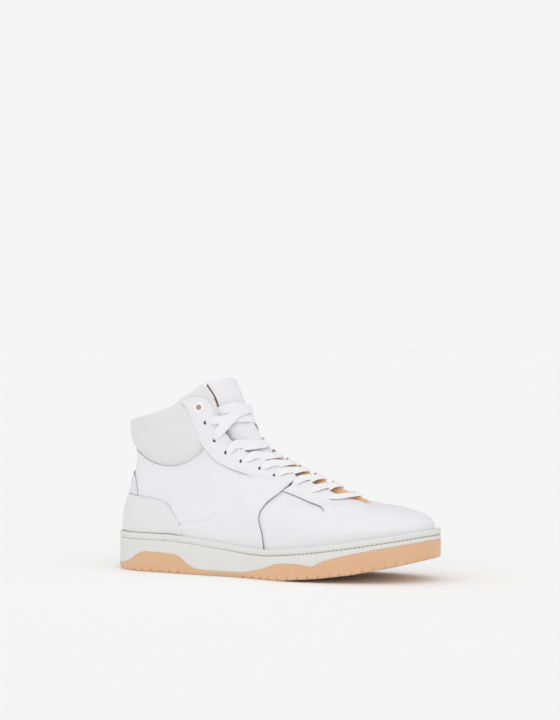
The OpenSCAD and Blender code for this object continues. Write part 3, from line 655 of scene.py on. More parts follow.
cup_girths, _ = even_girths(520)
ring_solid("cupsole_wall", cup_girths, [
    (2.8, tread_z, 4.1), (2.8, gum_z, 0.4), (0.7, gum_z, 0.2), (0.25, gum_z, 0.25), (0, gum_z, 0.6),
    (0, gum_z, 1.4), (0.1, lambda x: 0.5 * (gum_z(x) + lip_z(x)), -2.6), (0.1, lip_z, -7), (0.2, lip_z, -6.4),
    (0.55, lip_z, -6), (0.85, lip_z, -5.7), (0.95, lip_z, -5.4), (0.85, lip_z, -5.1), (0.4, lip_z, -4.8),
    (0.05, lip_z, -4.3), (-0.2, lip_z, -3.2), (-0.25, lip_z, -2.2), (-0.1, lip_z, -1.2), (0.3, lip_z, -0.45),
    (1.0, lip_z, 0), (1.9, lip_z, -0.05), (2.5, lip_z, -0.5), (2.6, lip_z, -SKIRT - 2), (6, lip_z, -SKIRT - 2),
    (6, tread_z, 7)], RUBBER, ["cupsole"], 60)

# Soft inner bevel of the lip, closing against the upper
bevel_girths = np.linspace(0, 360, 360, endpoint=False)


def lip_ring(drop):
    p = sole_edge(bevel_girths, 2.3)
    return np.column_stack([p, lip_z(p[:, 0]) - drop])


def upper_ring(drop, depth):
    return layer(bevel_girths, feather(fold(bevel_girths), drop), depth)


bevel = [lip_ring(2.6), lip_ring(0.35), 0.5 * (lip_ring(0.3) + upper_ring(0.9, 0.0)) - [0, 0, 0.15],
         upper_ring(0.9, -0.3), upper_ring(2.8, -0.3)]
make("cupsole_lip_bevel", np.concatenate(bevel), tube_faces(len(bevel), len(bevel_girths), around=True, first=1),
     RUBBER, angle=60)

# Thread in the groove under the lip, one stitch after another
thread_girths, _ = even_girths(int(perimeter / 3.7))
p = sole_edge(thread_girths, 0.75)
p3 = np.column_stack([p, lip_z(p[:, 0]) - 5.4])
t3 = np.roll(p3, -1, 0) - np.roll(p3, 1, 0)
t3 /= np.linalg.norm(t3, axis=1, keepdims=True)
n3 = np.cross(t3, [0, 0, 1.0])
n3 /= np.linalg.norm(n3, axis=1, keepdims=True)
sunk = 0.35 * (1 - ease(118, 160, p3[:, 0]))[:, None]
stitches("sole_thread", [(p3 - n3 * sunk, t3, n3)], SOLE_THREAD, replaces=["sole_stitching"], length=2.7,
         radius=0.36)

# --- sockliner ---
foot = np.linspace(0, 360, 180, endpoint=False)


def foot_ring(below, depth, z, shrink=0.0):
    """Ring of the footbed, below the lip and inside the last, shrunk towards its middle."""
    p = layer(foot, feather(fold(foot), below), depth)
    mid = np.interp(p[:, 0], [5, 150, 295], [0, 3, 12])
    y = mid + (p[:, 1] - mid) * (1 - shrink)
    x = 150 + (p[:, 0] - 150) * (1 - 0.35 * shrink)
    return np.column_stack([x, y, z(x)])


def liner_top(dish):
    return lambda x: lip_z(x) - SKIRT + 4 - dish + 2.2 * dish * ease(70, 110, x) * (1 - ease(120, 170, x))


stack("sockliner_cushion", [
    foot_ring(SKIRT - 1, LINE_IN - 2.4, lambda x: lip_z(x) - SKIRT + 0.2),
    foot_ring(SKIRT - 3.4, LINE_IN - 2.4, lambda x: lip_z(x) - SKIRT + 3.4),
    foot_ring(SKIRT - 4, LINE_IN - 3.0, lambda x: lip_z(x) - SKIRT + 3.95),
    foot_ring(SKIRT - 4, LINE_IN - 3.8, liner_top(0)),
    foot_ring(SKIRT - 4, LINE_IN - 3.8, liner_top(0.35), 0.14),
    foot_ring(SKIRT - 4, LINE_IN - 3.8, liner_top(0.75), 0.4),
    foot_ring(SKIRT - 4, LINE_IN - 3.8, liner_top(0.9), 0.7)],
    SOCK, ["sockliner"], body="sockliner", angle=60)

# --- upper panels ---
def net_distance(g, v, line):
    """Distance in mm from net points to a seam line."""
    q = along(line, np.linspace(0, 1, 160))
    a = skin(q[:, 0], q[:, 1])
    p = skin(fold(g), v).reshape(-1, 3)
    best = np.empty(len(p))
    for s in range(0, len(p), 3000):
        best[s:s + 3000] = np.linalg.norm(p[s:s + 3000, None] - a[None], axis=-1).min(1)
    return best.reshape(np.shape(g))


VAMP_BACK = QUARTER_FRONT - [5.0, 0]


def vamp_depth(g, v):
    """The vamp dips below the quarter that overlaps it."""
    near = net_distance(g, v, QUARTER_FRONT)
    ahead = fold(g) > np.interp(v, QUARTER_FRONT[:, 1], QUARTER_FRONT[:, 0])
    return -1.5 * np.where(ahead, 1 - ease(0.2, 5, near), 1.0)


def toe_relief(g, v):
    """Soft creases where the vamp bends, ahead of the throat."""
    p = skin(g, v)
    x = p[..., 0] + 0.18 * np.abs(p[..., 1])
    fade = ease(50, 62, p[..., 2] + 0.15 * (p[..., 0] - 200))
    lines = sum(np.exp(-(((x - c) / w) ** 2)) * h for c, w, h in
                [(196, 4.5, -0.18), (207, 4, -0.15), (222, 5, -0.12)])
    return lines * fade


vamp_net = around_toe(net(
    feather_line(97 - 5, 180, SKIRT), THROAT, VAMP_BACK,
    [[180, feather(180.0, SKIRT)], [180, 3], [180, 4.95]],
    fractions(96, 150, end=False), fractions(60, 60, start=False)))
vamp = panel("vamp_leather", vamp_net, vamp_depth, LEATHER, "n", WHITE, "white_leather", ["vamp"],
             rounding=0.8, groove=[2.0], relief=toe_relief, seed=3, height=0.3)

quarter_low = feather_line(0, 97, SKIRT)
quarter_back = [[0, feather(0.0, SKIRT)], [0, 4], QUARTER_TOP[0]]


def quarter_relief(g, v):
    near = net_distance(g, v, CREASE)
    p = skin(fold(g), v)
    dent = -0.75 * np.exp(-((near / 1.3) ** 2)) + 0.45 * np.exp(-(((near - 3.2) / 2.2) ** 2))
    ankle = -0.35 * np.exp(-(((p[..., 0] - 52) / 26) ** 2 + ((p[..., 2] - 84) / 9) ** 2))
    bend = sum(h * np.exp(-(((p[..., 0] + 0.9 * (p[..., 2] - 70) - c) / w) ** 2))
               * ease(52, 66, p[..., 2]) * (1 - ease(84, 100, p[..., 2]))
               for c, w, h in [(128, 6, -0.25), (146, 7, -0.2)])
    return dent + ankle + bend


quarter_net = net(quarter_low, QUARTER_TOP, quarter_back, QUARTER_FRONT,
                  fractions(150, 150, start=False), fractions(84, 84, start=False))


def quarter_depth(g, v):
    """The quarter's top edge rides up on the collar."""
    return 0.7 * (1 - ease(0.8, 5, net_distance(g, v, QUARTER_TOP[:12])))


pair("quarter", quarter_net, quarter_depth, LEATHER, "en", 5, cut_shade_edges="e", rounding=0.9, groove=[2.2],
     relief=quarter_relief, height=0.32)

counter_net = around_heel(net(feather_line(0, 62, -0.8), COUNTER_TOP,
                              [[0, feather(0.0, -0.8)], [0, 4.62]], COUNTER_FRONT,
                              fractions(60, 62, start=False), fractions(30, 30, start=False)))
panel("heel_counter_leather", counter_net, OVER_OUT, 1.2, "wen", HEEL_WHITE, "white_leather", ["heel_counter"],
      rounding=0.85, groove=[1.9], seed=8, height=0.15)
backstay_net = around_heel(net([[0, 4.72], [34, 4.62]], BACKSTAY_TOP, [[0, 4.72], [0, 6.72]], BACKSTAY_FRONT,
                               fractions(30, 30, start=False), fractions(26, 26, start=False)))
panel("backstay_leather", backstay_net, OVER_OUT - 0.3, 0.9, "wen", HEEL_WHITE, "white_leather", ["backstay"],
      rounding=0.6, groove=[1.7, 3.9], seed=9, height=0.12)

stay_net = net(STAY_REAR, STAY_EDGE, STAY_FRONT, STAY_TOP, fractions(110, 120), fractions(30, 22))[::-1]


def stay_thick(g, v):
    """The stay thins out to nothing at its lower front end, where it runs on into the quarter."""
    return 0.12 + 1.13 * ease(6.42, 6.75, v + 0.012 * (fold(g) - 131))


def stay_depth(g, v):
    t = stay_thick(g, v)
    return t + 0.45 * ease(0.2, 1.0, t) - 0.3 * (1 - ease(0.12, 0.4, t))


stays = pair("eyestay", stay_net, stay_depth, stay_thick, "snw", 12, rounding=0.5, groove=[2.0],
             height=0.12, finish=STAY_CUT_SHADE)

wing_net = net(WING_LOW, [[min(q[0], 173), q[1]] for q in THROAT], [[126, 5.95], [139, 6.3], [155, 6.65]],
               WING_FRONT, fractions(50, 50), fractions(36, 34))


def wing_thick(g, v):
    """The wing's toe-side end fades into the vamp."""
    return 0.1 + 1.0 * ease(0.0, 6.0, net_distance(g, v, WING_FRONT))


def wing_depth(g, v):
    t = wing_thick(g, v)
    return t + 0.35 * ease(0.2, 0.8, t) - 0.3 * (1 - ease(0.1, 0.4, t))


pair("wing", wing_net, wing_depth, wing_thick, "ns", 15, rounding=0.7, groove=[2.0], height=0.1)

# --- padding ---
FILL_SCALE = 10.0        # the cloth is worked at ten times its size, where its settings behave


def loop_faces(m, k):
    """A tube whose points run the other way round, as the padded pieces' sections do."""
    return inside_out(tube_faces(m, k, caps=False)) + [list(range(k)), list(range(m * k))[:-k - 1:-1]]


def fill(points, held, cap, pressure=4.0, ends=9):
    """Swells a padded shape like a filled cushion. points is a grid of closed loops in mm; held marks the
    sewn points. A coarse copy is blown up as cloth, and its capped movement is carried over to the grid."""
    ni, nj = points.shape[:2]
    ci = np.unique(np.linspace(ends, ni - 1 - ends, min(ni, 64)).astype(int))
    cj = np.arange(0, nj, 3)
    coarse = points[np.ix_(ci, cj)]
    a, b = len(ci), len(cj)
    mesh = bpy.data.meshes.new("fill")
    mesh.from_pydata((coarse.reshape(-1, 3) * 0.001 * FILL_SCALE).tolist(), [], loop_faces(a, b))
    obj = bpy.data.objects.new("fill", mesh)
    bpy.context.scene.collection.objects.link(obj)
    pins = held[np.ix_(ci, cj)]
    pins[[0, 1, -2, -1]] = True
    obj.vertex_groups.new(name="sewn").add(np.flatnonzero(pins.ravel()).tolist(), 1.0, "REPLACE")
    cloth = obj.modifiers.new("fill", "CLOTH")
    cloth.settings.quality = 8
    cloth.settings.mass = 0.15
    cloth.settings.tension_stiffness = 12
    cloth.settings.compression_stiffness = 6
    cloth.settings.bending_stiffness = 0.3
    cloth.settings.vertex_group_mass = "sewn"
    cloth.settings.use_pressure = True
    cloth.settings.uniform_pressure_force = pressure
    cloth.settings.effector_weights.gravity = 0
    cloth.point_cache.frame_start, cloth.point_cache.frame_end = 1, 20
    for frame_number in range(1, 21):
        bpy.context.scene.frame_set(frame_number)
    done = obj.evaluated_get(bpy.context.evaluated_depsgraph_get()).to_mesh()
    after = np.empty(a * b * 3)
    done.vertices.foreach_get("co", after)
    bpy.context.scene.frame_set(1)
    bpy.data.objects.remove(obj)
    bpy.data.meshes.remove(mesh)
    move = after.reshape(a, b, 3) * 1000 / FILL_SCALE - coarse
    size = np.linalg.norm(move, axis=-1, keepdims=True)
    move *= cap * np.tanh(size / cap) / np.maximum(size, 1e-6)
    cj, move = np.append(cj, nj), np.concatenate([move, move[:, :1]], 1)
    rows = np.stack([[np.interp(np.arange(nj), cj, move[i, :, c]) for c in range(3)] for i in range(a)])
    fine = np.stack([[np.interp(np.arange(ni), ci, rows[:, c, j]) for j in range(nj)] for c in range(3)])
    return points + fine.transpose(2, 1, 0)


# --- lining seen inside the ankle ---
lining_top = np.array([[0, 9.3], [37, 9.3], [61, 9.3], [80, 9.3], [95, 9.35], [106, 9.55], [121, 9.75],
                       [129, 9.7], [132, 9.5], [133, 9.1], [136, 8.45], [140, 7.95], [146, 7.55], [152, 7.15],
                       [155, 6.65]])
lining_net = around_heel(net(quarter_low, lining_top,
                             [[0, feather(0.0, SKIRT)], [0, 5], [0, 9.3]], QUARTER_FRONT,
                             np.linspace(0, 1, 70), np.linspace(0, 1, 60)))
g, v = lining_net[..., 0], lining_net[..., 1]
swell = -3.9 * pad(g, v)
make("ankle_lining", np.concatenate([layer(g, v, LINE_OUT + 0.5 + swell).reshape(-1, 3),
                                     layer(g, v, LINE_IN + 0.1 + swell).reshape(-1, 3)]),
     slab_faces(*g.shape), LINING, replaces=["quarter_lining"])

# --- padded collar: outer leather that rolls over the top and down inside ---
collar_net = net(COLLAR_SEAM - [0, 0.35], COLLAR_TOP, [[0, 7.95], [0, 9.85]],
                 np.concatenate([[[134, 8.85]], COLLAR_FRONT[1:]]),
                 fractions(84, 125, start=False), np.linspace(0, 1, 40))
cg, cv = collar_net[..., 0].copy(), collar_net[..., 1].copy()
full = 1 - ease(98, 122, cg)
# Lower the top line so that the roll ends where the collar does
reach = edge_distance(skin(cg, cv), "e")
taper = np.sqrt(1 - (1 - np.clip(reach / 2.2, 0, 1)) ** 2)
per_level = np.linalg.norm(skin(cg[:, -1], cv[:, -1]) - skin(cg[:, -1], cv[:, -1] - 0.2), axis=1) / 0.2
roll_height = 0.85 * (2.3 + 1.95 * full[:, -1]) * taper[:, -1]
cv -= (roll_height / per_level)[:, None] * ease(0.3, 1, np.linspace(0, 1, 40))[None]
MM_PER_LEVEL = 14.3
above = (cv - lookup(cg, COLLAR_SEAM)) * MM_PER_LEVEL
belly = np.sin(np.pi * np.clip(above / 24, 0, 1) ** 0.8) ** 0.7
outer = -1.4 + 1.5 * ease(-1.6, 1.5, above) + full * (2.3 * belly * ease(0, 4, above))
inner = LINE_IN - 0.7 - 3.7 * pad(cg, cv)
outer += waves(skin(cg, cv), 21, 30, height=0.35) * ease(1, 8, above)
middle = (outer + inner) / 2
outer, inner = middle + (outer - middle) * taper, middle + (inner - middle) * taper


def collar_loops(sign):
    """Closed section at each station: up the outside, over the roll, down the inside."""
    g = sign * cg
    n = skin_normal(g[:, -1], cv[:, -1])
    rim = skin(g[:, -1], cv[:, -1])
    tangent = np.gradient(rim, axis=0)
    tangent /= np.linalg.norm(tangent, axis=1, keepdims=True)
    up = np.cross(n, tangent)
    up *= np.sign((up * (rim - skin(g[:, -1], cv[:, -1] - 0.05))).sum(1))[:, None]
    r = ((outer - inner) / 2)[:, -1:]
    a = np.linspace(0, np.pi, 15)[1:-1, None, None]
    roll = rim + middle[:, -1:] * n + r * np.cos(a) * n + 0.85 * r * np.sin(a) * up
    return np.concatenate([layer(g, cv, outer), roll.transpose(1, 0, 2), layer(g, cv, inner)[:, ::-1]], 1)


loops = np.concatenate([collar_loops(-1)[:0:-1], collar_loops(1)])
sewn = np.zeros(loops.shape[:2], bool)
sewn[:, :5] = sewn[:, -6:] = True
station = np.concatenate([cg[:0:-1, 20], cg[:, 20]])
sewn[station > 92] = True
loops = fill(loops, sewn, 1.4)
make("collar_padded_leather", loops.reshape(-1, 3), loop_faces(*loops.shape[:2]), COLLAR_WHITE,
     replaces=["collar_panel", "collar_foam"], angle=60)

# --- tongue ---
GAP = [[4.95, 0], [5.1, 9], [5.5, 15.5], [6, 18.5], [6.65, 23], [7.2, 26], [7.6, 32], [7.95, 39], [8.45, 43],
       [9.2, 45], [10.4, 45]]
TONGUE_HALF = [[4.6, 22], [5.5, 26], [6.65, 33], [7.6, 41], [8.45, 45], [9.2, 45], [9.6, 42], [9.9, 42],
               [10.1, 44], [10.3, 47], [10.45, 48]]
EDGE_DEPTH = LINE_IN - 0.8
CROWN = [[4.75, 1.5], [4.95, 6.2], [5.25, 8.0], [5.7, 7.8], [6.6, 6.6], [7.3, 5.6], [7.9, 3], [8.3, 2.3],
         [9, 2.6], [10.4, 2.2]]


def tongue_edge(v):
    """Height of the tongue's edges, fuller where they fill the opening below the ankle."""
    return 1.2 * ease(7.4, 8.6, v) + 0.9 * ease(7.6, 8.0, v) * (1 - ease(8.7, 9.2, v))


def tongue_depth(side, v):
    x = np.minimum(1, np.abs(side) * lookup(v, TONGUE_HALF) / np.maximum(1, lookup(v, GAP)))
    return EDGE_DEPTH + tongue_edge(v) + lookup(v, CROWN) * (1 - x * x) ** (1.5 - 0.95 * ease(7.5, 8.1, v))


def pillow(name, low, high, thick, below, mat, replaces, ends=(0.5, 0.5), corner=0.0, power=5, n=(61, 70),
           reach=1.0, swell=0.0, shaded_rim_levels=None, filled=0.0):
    """Soft-edged pad of the tongue between two levels."""
    s = np.sin(np.linspace(-np.pi / 2, np.pi / 2, n[0]))
    t = 0.5 - 0.5 * np.cos(np.linspace(0, np.pi, n[1]))
    S, T = np.meshgrid(s, t, indexing="ij")
    v = low + (high - low) * T
    narrow = 1 - corner * np.clip((T - 0.82) / 0.18, 0, 1) ** 2.5
    side = reach * S * narrow
    rim = np.maximum(0, 1 - np.abs(S) ** power) ** (1 / 2)
    tip = np.minimum(1, np.sqrt(np.clip(T / (ends[0] * 0.08 + 1e-6), 0, 1)))
    tip2 = np.sqrt(np.clip(1 - (1 - np.clip((1 - T) / (ends[1] * 0.14 + 1e-6), 0, 1)) ** 2, 0, 1))
    body = rim * tip * tip2
    full = given(thick, side, v)
    mid = tongue_depth(side, v) - below - full / 2
    g = 180 + side * lookup(v, TONGUE_HALF)
    bulge = swell * body * (1 - S**2) * ease(0.02, 0.35, T) * (1 - ease(0.8, 1, T))
    outer = mid + full / 2 * body + bulge
    inner = mid - full / 2 * body
    out, back = layer(g, v, outer), layer(g, v, inner)
    if filled:
        # Blown up as cloth, sewn along both sides and over the lower end
        rounds = np.concatenate([out, back[-2:0:-1]]).transpose(1, 0, 2)
        sewn = np.zeros(rounds.shape[:2], bool)
        sewn[:, :3] = sewn[:, n[0] - 3:n[0] + 2] = sewn[:, -2:] = True
        sewn[:n[1] // 3] = True
        rounds = fill(rounds, sewn, filled).transpose(1, 0, 2)
        out, back = rounds[:n[0]], np.concatenate([rounds[:1], rounds[:n[0] - 1:-1], rounds[n[0] - 1:n[0]]])
    points = np.concatenate([out.reshape(-1, 3), back.reshape(-1, 3)])
    faces = slab_faces(*v.shape)
    obj = make(name, points, faces, mat, body="tongue", replaces=replaces, angle=70)
    if shaded_rim_levels:
        # Side edges in a dark tan: tan edge leather plus painted shade for the slit beside the collar
        two_tone(obj, TONGUE_EDGE_SHADE, np.tile(((np.abs(S) > 0.946) & (v > shaded_rim_levels[0]) & (v < shaded_rim_levels[1])).ravel(), 2), faces)


def tongue_pad(side, v):
    return 2.4 + 3.4 * ease(7.5, 8.3, v)


pillow("tongue_padded_leather", 7.55, 10.42, tongue_pad, 0.0, WHITE,
       ["tongue_face", "tongue_foam"], ends=(0.4, 0.9), corner=0.03, swell=0.3, power=9, shaded_rim_levels=(9.35, 10.36),
       filled=0.7)
pillow("tongue_tan_leather", 4.6, 7.7, 1.5, 0.05, TAN, ["tongue_base"], power=12)
pillow("tongue_back_lining", 4.7, 10.25, 0.9, 5.6, TAN, ["tongue_lining"], power=12, reach=0.985,
       corner=0.1)

# --- laces ---
def tape(paths, name, mat, replaces, thick=1.25):
    """Flat woven tape with soft edges along each path: (points, normals, widths)."""
    section = np.array([[math.cos(a), math.sin(a)] for a in np.linspace(0, 2 * math.pi, 20, endpoint=False)])
    section = np.sign(section) * np.abs(section) ** np.array([0.55, 0.8])
    points, faces, uv = [], [], []
    for P, N, W in paths:
        T = np.gradient(P, axis=0)
        T /= np.linalg.norm(T, axis=1, keepdims=True)
        side = np.cross(T, N)
        side /= np.linalg.norm(side, axis=1, keepdims=True)
        up = np.cross(side, T)
        run = np.r_[0, np.cumsum(np.linalg.norm(np.diff(P, axis=0), axis=1))]
        faces += inside_out(tube_faces(len(P), len(section), len(points), first=-1))
        for i in range(len(P)):
            for c, s in section:
                # A flat tape sags a little at its middle and its selvedges are thicker
                h = thick / 2 * s * (0.82 + 0.18 * min(1, abs(c) * 1.25) ** 3)
                points.append(P[i] + side[i] * c * W[i] / 2 + up[i] * h)
                uv.append([run[i], c * W[i] / 2])
    return make(name, np.array(points), faces, mat, replaces=replaces, angle=0, uv=np.array(uv))


STAY_RIDE = OVER_OUT + 0.75


def route(stations, n):
    """Smooth path through [girth, level, depth, width] stations."""
    q = spline(np.array(stations, float), np.linspace(0, len(stations) - 1, n))
    return layer(q[:, 0], q[:, 1], q[:, 2]), skin_normal(q[:, 0], q[:, 1]), q[:, 3]


def flip(stations):
    return [[360 - s[0]] + list(s[1:]) for s in stations]


def ride(v, lift):
    """Depth of a tape that lies on the tongue's crown, lifted over what it crosses."""
    return EDGE_DEPTH + float(tongue_edge(v)) + float(lookup(v, CROWN)) + 0.75 + lift


def leave_hole(k, toward):
    """Stations where a tape comes out of hole k and spreads over the stay, heading for [girth, level]."""
    g0, v0 = EYELETS[k]
    slope = (toward[1] - v0) / (toward[0] - g0)
    return [[g0 + 0.4, v0, -0.1, 2.6], [g0 + 2.6, v0 + 2.6 * slope, 1.7, 4.4],
            [g0 + 6, v0 + 6 * slope, STAY_RIDE + 0.35, 6.4], [g0 + 11, v0 + 11 * slope, STAY_RIDE + 0.2, 7.1]]


def crossing(k, lift):
    """Tape from hole k: steeply up to the stay's edge, level over the tongue, under the opposite stay."""
    g0, v0 = EYELETS[k]
    rise = EYELETS[k - 1][1] - v0
    band = v0 + 0.47 * rise
    edge = 180 - float(lookup(band, GAP))
    run = max(edge - g0, 6.0)
    out = [[g0 + 0.4, v0, -0.1, 2.6], [g0 + 2.2, v0 + 0.04 * rise, 1.7, 4.6],
           [g0 + 0.45 * run, v0 + 0.3 * rise, STAY_RIDE + 0.3, 7.2],
           [g0 + 0.85 * run, v0 + 0.54 * rise, STAY_RIDE + 0.1, 7.9]]
    for f, up in ((0.18, 0.62), (0.4, 0.55), (0.6, 0.46), (0.8, 0.42)):
        v = v0 + up * rise
        out.append([edge + f * (360 - 2 * edge), v, ride(v, lift), 8.0])
    far = 360 - edge
    return out + [[far - 3.5, band - 0.06 * rise, ride(band, lift) * 0.5, 7.6],
                  [far + 1, band - 0.05 * rise, -2.2, 7.0], [far + 4, band - 0.04 * rise, -2.9, 6.4]]


paths = []
# Straight bar over the lowest pair of holes
bar = leave_hole(9, [180, EYELETS[9][1]])
low = EYELETS[9][1]
middle_bar = [[165, low, ride(low, 0.2), 7.0], [180, low, ride(low, 0.3), 7.1], [195, low, ride(low, 0.2), 7.0]]
paths.append(route(bar + middle_bar + flip(bar)[::-1], 90))
for k in range(3, 9):
    paths.append(route(crossing(k, 0.0), 80))
    paths.append(route(flip(crossing(k, 1.3)), 80))
# The top of the lacing: a level tape, a steep one over it, and a broad one that tucks in beside the collar
level_tape = leave_hole(1, [150, 9.2]) + [[150, 9.15, ride(9.05, 0.1), 7.6], [168, 9.12, ride(9, 0.1), 7.6],
                                          [184, 9.07, ride(8.96, 0.1), 7.6], [200, 8.95, ride(8.9, 0.2), 7.4]]
paths.append(route(level_tape + flip(leave_hole(2, [165, 8.8]))[::-1], 80))
paths.append(route([[121.4, 8.4, -0.1, 2.6], [123.5, 8.5, 1.8, 5.0], [127, 8.64, STAY_RIDE + 0.4, 7.8],
                    [133, 8.83, STAY_RIDE + 0.5, 8.6]]
                   + [[g, v, ride(v, 2.0), 8.8] for g, v in ((141, 9.03), (150, 9.2), (160, 9.31), (171, 9.36),
                                                             (184, 9.38), (200, 9.38))]
                   + [[213, 9.38, 0.8, 8.0], [222, 9.38, -1.6, 7.2], [227, 9.38, -2.6, 6.4]], 90))
paths.append(route(flip(leave_hole(1, [200, 9.35]))
                   + [[g, v, ride(9.3, 0.9), 9.4] for g, v in ((212, 9.24), (198, 9.3), (184, 9.36), (170, 9.43),
                                                               (157, 9.47))]
                   + [[147, 9.45, ride(9.3, 0.3), 9.2], [140, 9.43, -2.2, 8.6], [133, 9.42, -4.4, 7.6]], 80))
# Loose ends tucked inside the collar
TUCK = LINE_IN - 1.4
end_g, end_v = np.linspace(124, 104, 12), np.linspace(9.5, 9.1, 12)
loose = np.stack([end_g, end_v, TUCK - 4.5 * pad(end_g, end_v) - 0.4, np.full(12, 6.5)], 1).tolist()
paths += [route(loose, 30), route(flip(loose), 30)]
tape(paths, "lace_tape", LACE, ["lace"])

# --- ring eyelets and holes ---
def circles_on_skin(g, v, depth, profile, count):
    """Circles of points about the surface's normal: profile is [radius, height] pairs."""
    c, n = layer(g, v, depth), skin_normal(g, v)
    a = np.cross(n, [0, 0, 1.0])
    a /= np.linalg.norm(a)
    b = np.cross(n, a)
    return [c + r * (math.cos(t) * a + math.sin(t) * b) + h * n for r, h in profile
            for t in np.linspace(0, 2 * math.pi, count, endpoint=False)]


def lathe_on_skin(name, spots, profile, mat, replaces=(), count=40):
    """Turned rings of a closed profile, standing on the surface."""
    points, faces = [], []
    for spot in spots:
        faces += inside_out(tube_faces(len(profile), count, len(points), around=True))
        points += circles_on_skin(*spot, profile, count)
    return make(name, np.array(points), faces, mat, replaces=replaces, angle=50)


def at_holes(holes, depth):
    """Spots at these holes of both sides."""
    return [[side, v, depth] for g, v in holes for side in (g, 360 - g)]


ring_profile = [[2.3, -2.2], [2.3, 0.3], [2.5, 0.9], [2.9, 1.2], [3.6, 1.15], [4.1, 0.85], [4.3, 0.4], [4.3, 0.0],
                [2.9, 0.0], [2.8, -2.2]]
lathe_on_skin("eyelet_ring", at_holes(EYELETS[:1], OVER_OUT - 0.35), ring_profile, RING,
              ["eyelet_rings"])


def punch(target, spots, radius, low, high, count=20):
    """Cuts round holes through a piece, from low to high over the surface; radius(level) gives each one's."""
    points, faces = [], []
    for g, v in spots:
        faces += tube_faces(2, count, len(points))
        points += circles_on_skin(g, v, 0.0, [[radius(v), low], [radius(v), high]], count)
    mesh = bpy.data.meshes.new("punch")
    mesh.from_pydata(frame_m(points).tolist(), [], faces)
    cutter = bpy.data.objects.new("punch", mesh)
    bpy.context.scene.collection.objects.link(cutter)
    cut = target.modifiers.new("holes", "BOOLEAN")
    cut.operation = "DIFFERENCE"
    cut.solver = "EXACT"
    cut.object = cutter
    done = bpy.data.meshes.new_from_object(target.evaluated_get(bpy.context.evaluated_depsgraph_get()))
    target.modifiers.clear()
    old = target.data
    target.data = done
    bpy.data.meshes.remove(old)
    bpy.data.objects.remove(cutter)


perforations = [[180 + 11 * (i - (count - 1) / 2), level] for level, count in
                ((4.74, 7), (4.58, 8), (4.42, 7), (4.26, 6), (4.1, 5)) for i in range(count)]
punch(vamp, perforations, lambda v: 0.75, -1.1, 4)
for stay, spots in zip(stays, (EYELETS, [[360 - g, v] for g, v in EYELETS])):
    punch(stay, spots, lambda v: 2.45 if v > 9.4 else 1.7, -6, 6)

# Dark discs seen down the lace holes: painted shade of the holes' depth
lathe_on_skin("hole_shade_discs", at_holes(EYELETS[1:], 0.32),
              [[0.05, 0.06], [2.3, 0.06], [2.3, -0.25], [0.05, -0.25]], SHADE)
# A greyish-brown disc under the ring's hole: painted shade seen down it
lathe_on_skin("ring_hole_shade_disc", at_holes(EYELETS[:1], 0.5), [[0.05, 0.1], [2.6, 0.1], [2.6, -0.3], [0.05, -0.3]],
              RING_SHADE)

# --- seams ---
def on_stay(g, v):
    return stay_depth(g, v) - 0.25


def on_wing(g, v):
    return wing_depth(g, v) - 0.25


rows = []
for line, distance, side, depth, mirror in (
        (STAY_REAR[6:], 2.0, -1, on_stay, 360), (STAY_EDGE, 2.0, 1, on_stay, 360),
        (STAY_TOP, 2.0, -1, on_stay, 360), (QUARTER_FRONT[12:], 2.2, 1, -0.22, 360),
        (COUNTER_TOP, 1.9, -1, OVER_OUT - 0.25, 0), (COUNTER_FRONT, 1.9, 1, OVER_OUT - 0.25, 0),
        (BACKSTAY_FRONT, 1.7, 1, OVER_OUT - 0.5, 0), (BACKSTAY_FRONT, 3.9, 1, OVER_OUT - 0.5, 0),
        (BACKSTAY_TOP, 1.7, -1, OVER_OUT - 0.5, 0), (THROAT[1:], 2.0, -1, 0.75, 360),
        (WING_LOW, 2.0, 1, on_wing, 360), (COLLAR_SEAM, 2.2, -1, -0.15, 0)):
    rows += seam_row(line, distance, side, depth, mirror)
stitches("upper_stitching", rows, THREAD)

# --- sheaths on the lace ends ---
ends = []
for g in (94, 266):
    a = skin(g + 1, 9) - skin(g - 1, 9)
    depth = TUCK - 1.2 - 4.5 * float(pad(94, 9))
    ends.append((layer(g, 9, depth)[None], (a / np.linalg.norm(a))[None], skin_normal(g, 9)[None]))
stitches("lace_sheaths", ends, SHEATH, replaces=["aglets"], length=18, radius=1.2)

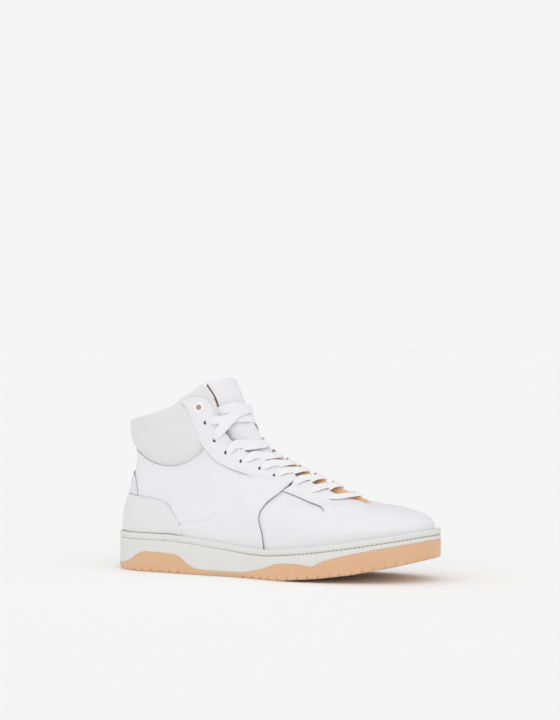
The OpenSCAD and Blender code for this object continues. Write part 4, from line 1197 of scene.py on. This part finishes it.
# --- CAD pieces that stay: dressed with their own finish ---
for node, mat in {"midsole": CUSHION, "shank": STEEL, "insole_board": BOARD, "toe_puff": BOARD,
                  "heel_stiffener": BOARD, "vamp_lining": LINING}.items():
    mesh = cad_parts[node].data
    mesh.materials.clear()
    mesh.materials.append(mat)

# --- floor, light and camera ---
bpy.ops.mesh.primitive_plane_add(size=30, location=(0, 0, 0))
floor = bpy.context.object
floor.name = "floor"
paper = bpy.data.materials.new("floor_paper")
surface = Tree(paper).nodes["Principled BSDF"].inputs
surface["Base Color"].default_value = srgb(251, 251, 251)
surface["Roughness"].default_value = 0.9
surface["Specular IOR Level"].default_value = 0.0
floor.data.materials.append(paper)

# A white tent: even light from all round, a little stronger from above and the camera's side
TENT_LOW, TENT_HIGH = 0.66, 1.12
world = bpy.context.scene.world or bpy.data.worlds.new("world")
bpy.context.scene.world = world
tent = Tree(world)
toward_light = tent.calc("DOT_PRODUCT", tent.add("TexCoord", "Generated"), Vector((0.2, -0.6, 0.6)).normalized(),
                         kind="VectorMath", out="Value")
strength = tent.add("MapRange", "Result", {"interpolation_type": "SMOOTHSTEP"}, From_Min=-0.35, From_Max=1.0,
                    To_Min=TENT_LOW, To_Max=TENT_HIGH, Value=toward_light)
light = tent.nodes["Background"]
light.inputs["Color"].default_value = (1, 1, 1, 1)
tent.put(strength, light.inputs["Strength"])
seen = tent.add("Background", "Background", Color=srgb(245, 245, 245))
mixed = tent.nodes.new("ShaderNodeMixShader")
for value, socket in zip((tent.add("LightPath", "Is Camera Ray"), light.outputs["Background"], seen), mixed.inputs):
    tent.put(value, socket)
tent.put(mixed.outputs["Shader"], tent.nodes["World Output"].inputs["Surface"])

bpy.context.scene.view_settings.view_transform = "Standard"
azimuth, elevation, distance = math.radians(28), math.radians(0.889), 1.9
aim = Vector((0.06191, 0, 0.1855))
toward = Vector((math.sin(azimuth) * math.cos(elevation), -math.cos(azimuth) * math.cos(elevation),
                 math.sin(elevation)))
camera_data = bpy.data.cameras.new("camera")
camera_data.lens = 109.745
camera = bpy.data.objects.new("camera", camera_data)
camera.location = aim + toward * distance
camera.rotation_euler = (-toward).to_track_quat("-Z", "Y").to_euler()
bpy.context.scene.collection.objects.link(camera)
bpy.context.scene.camera = camera
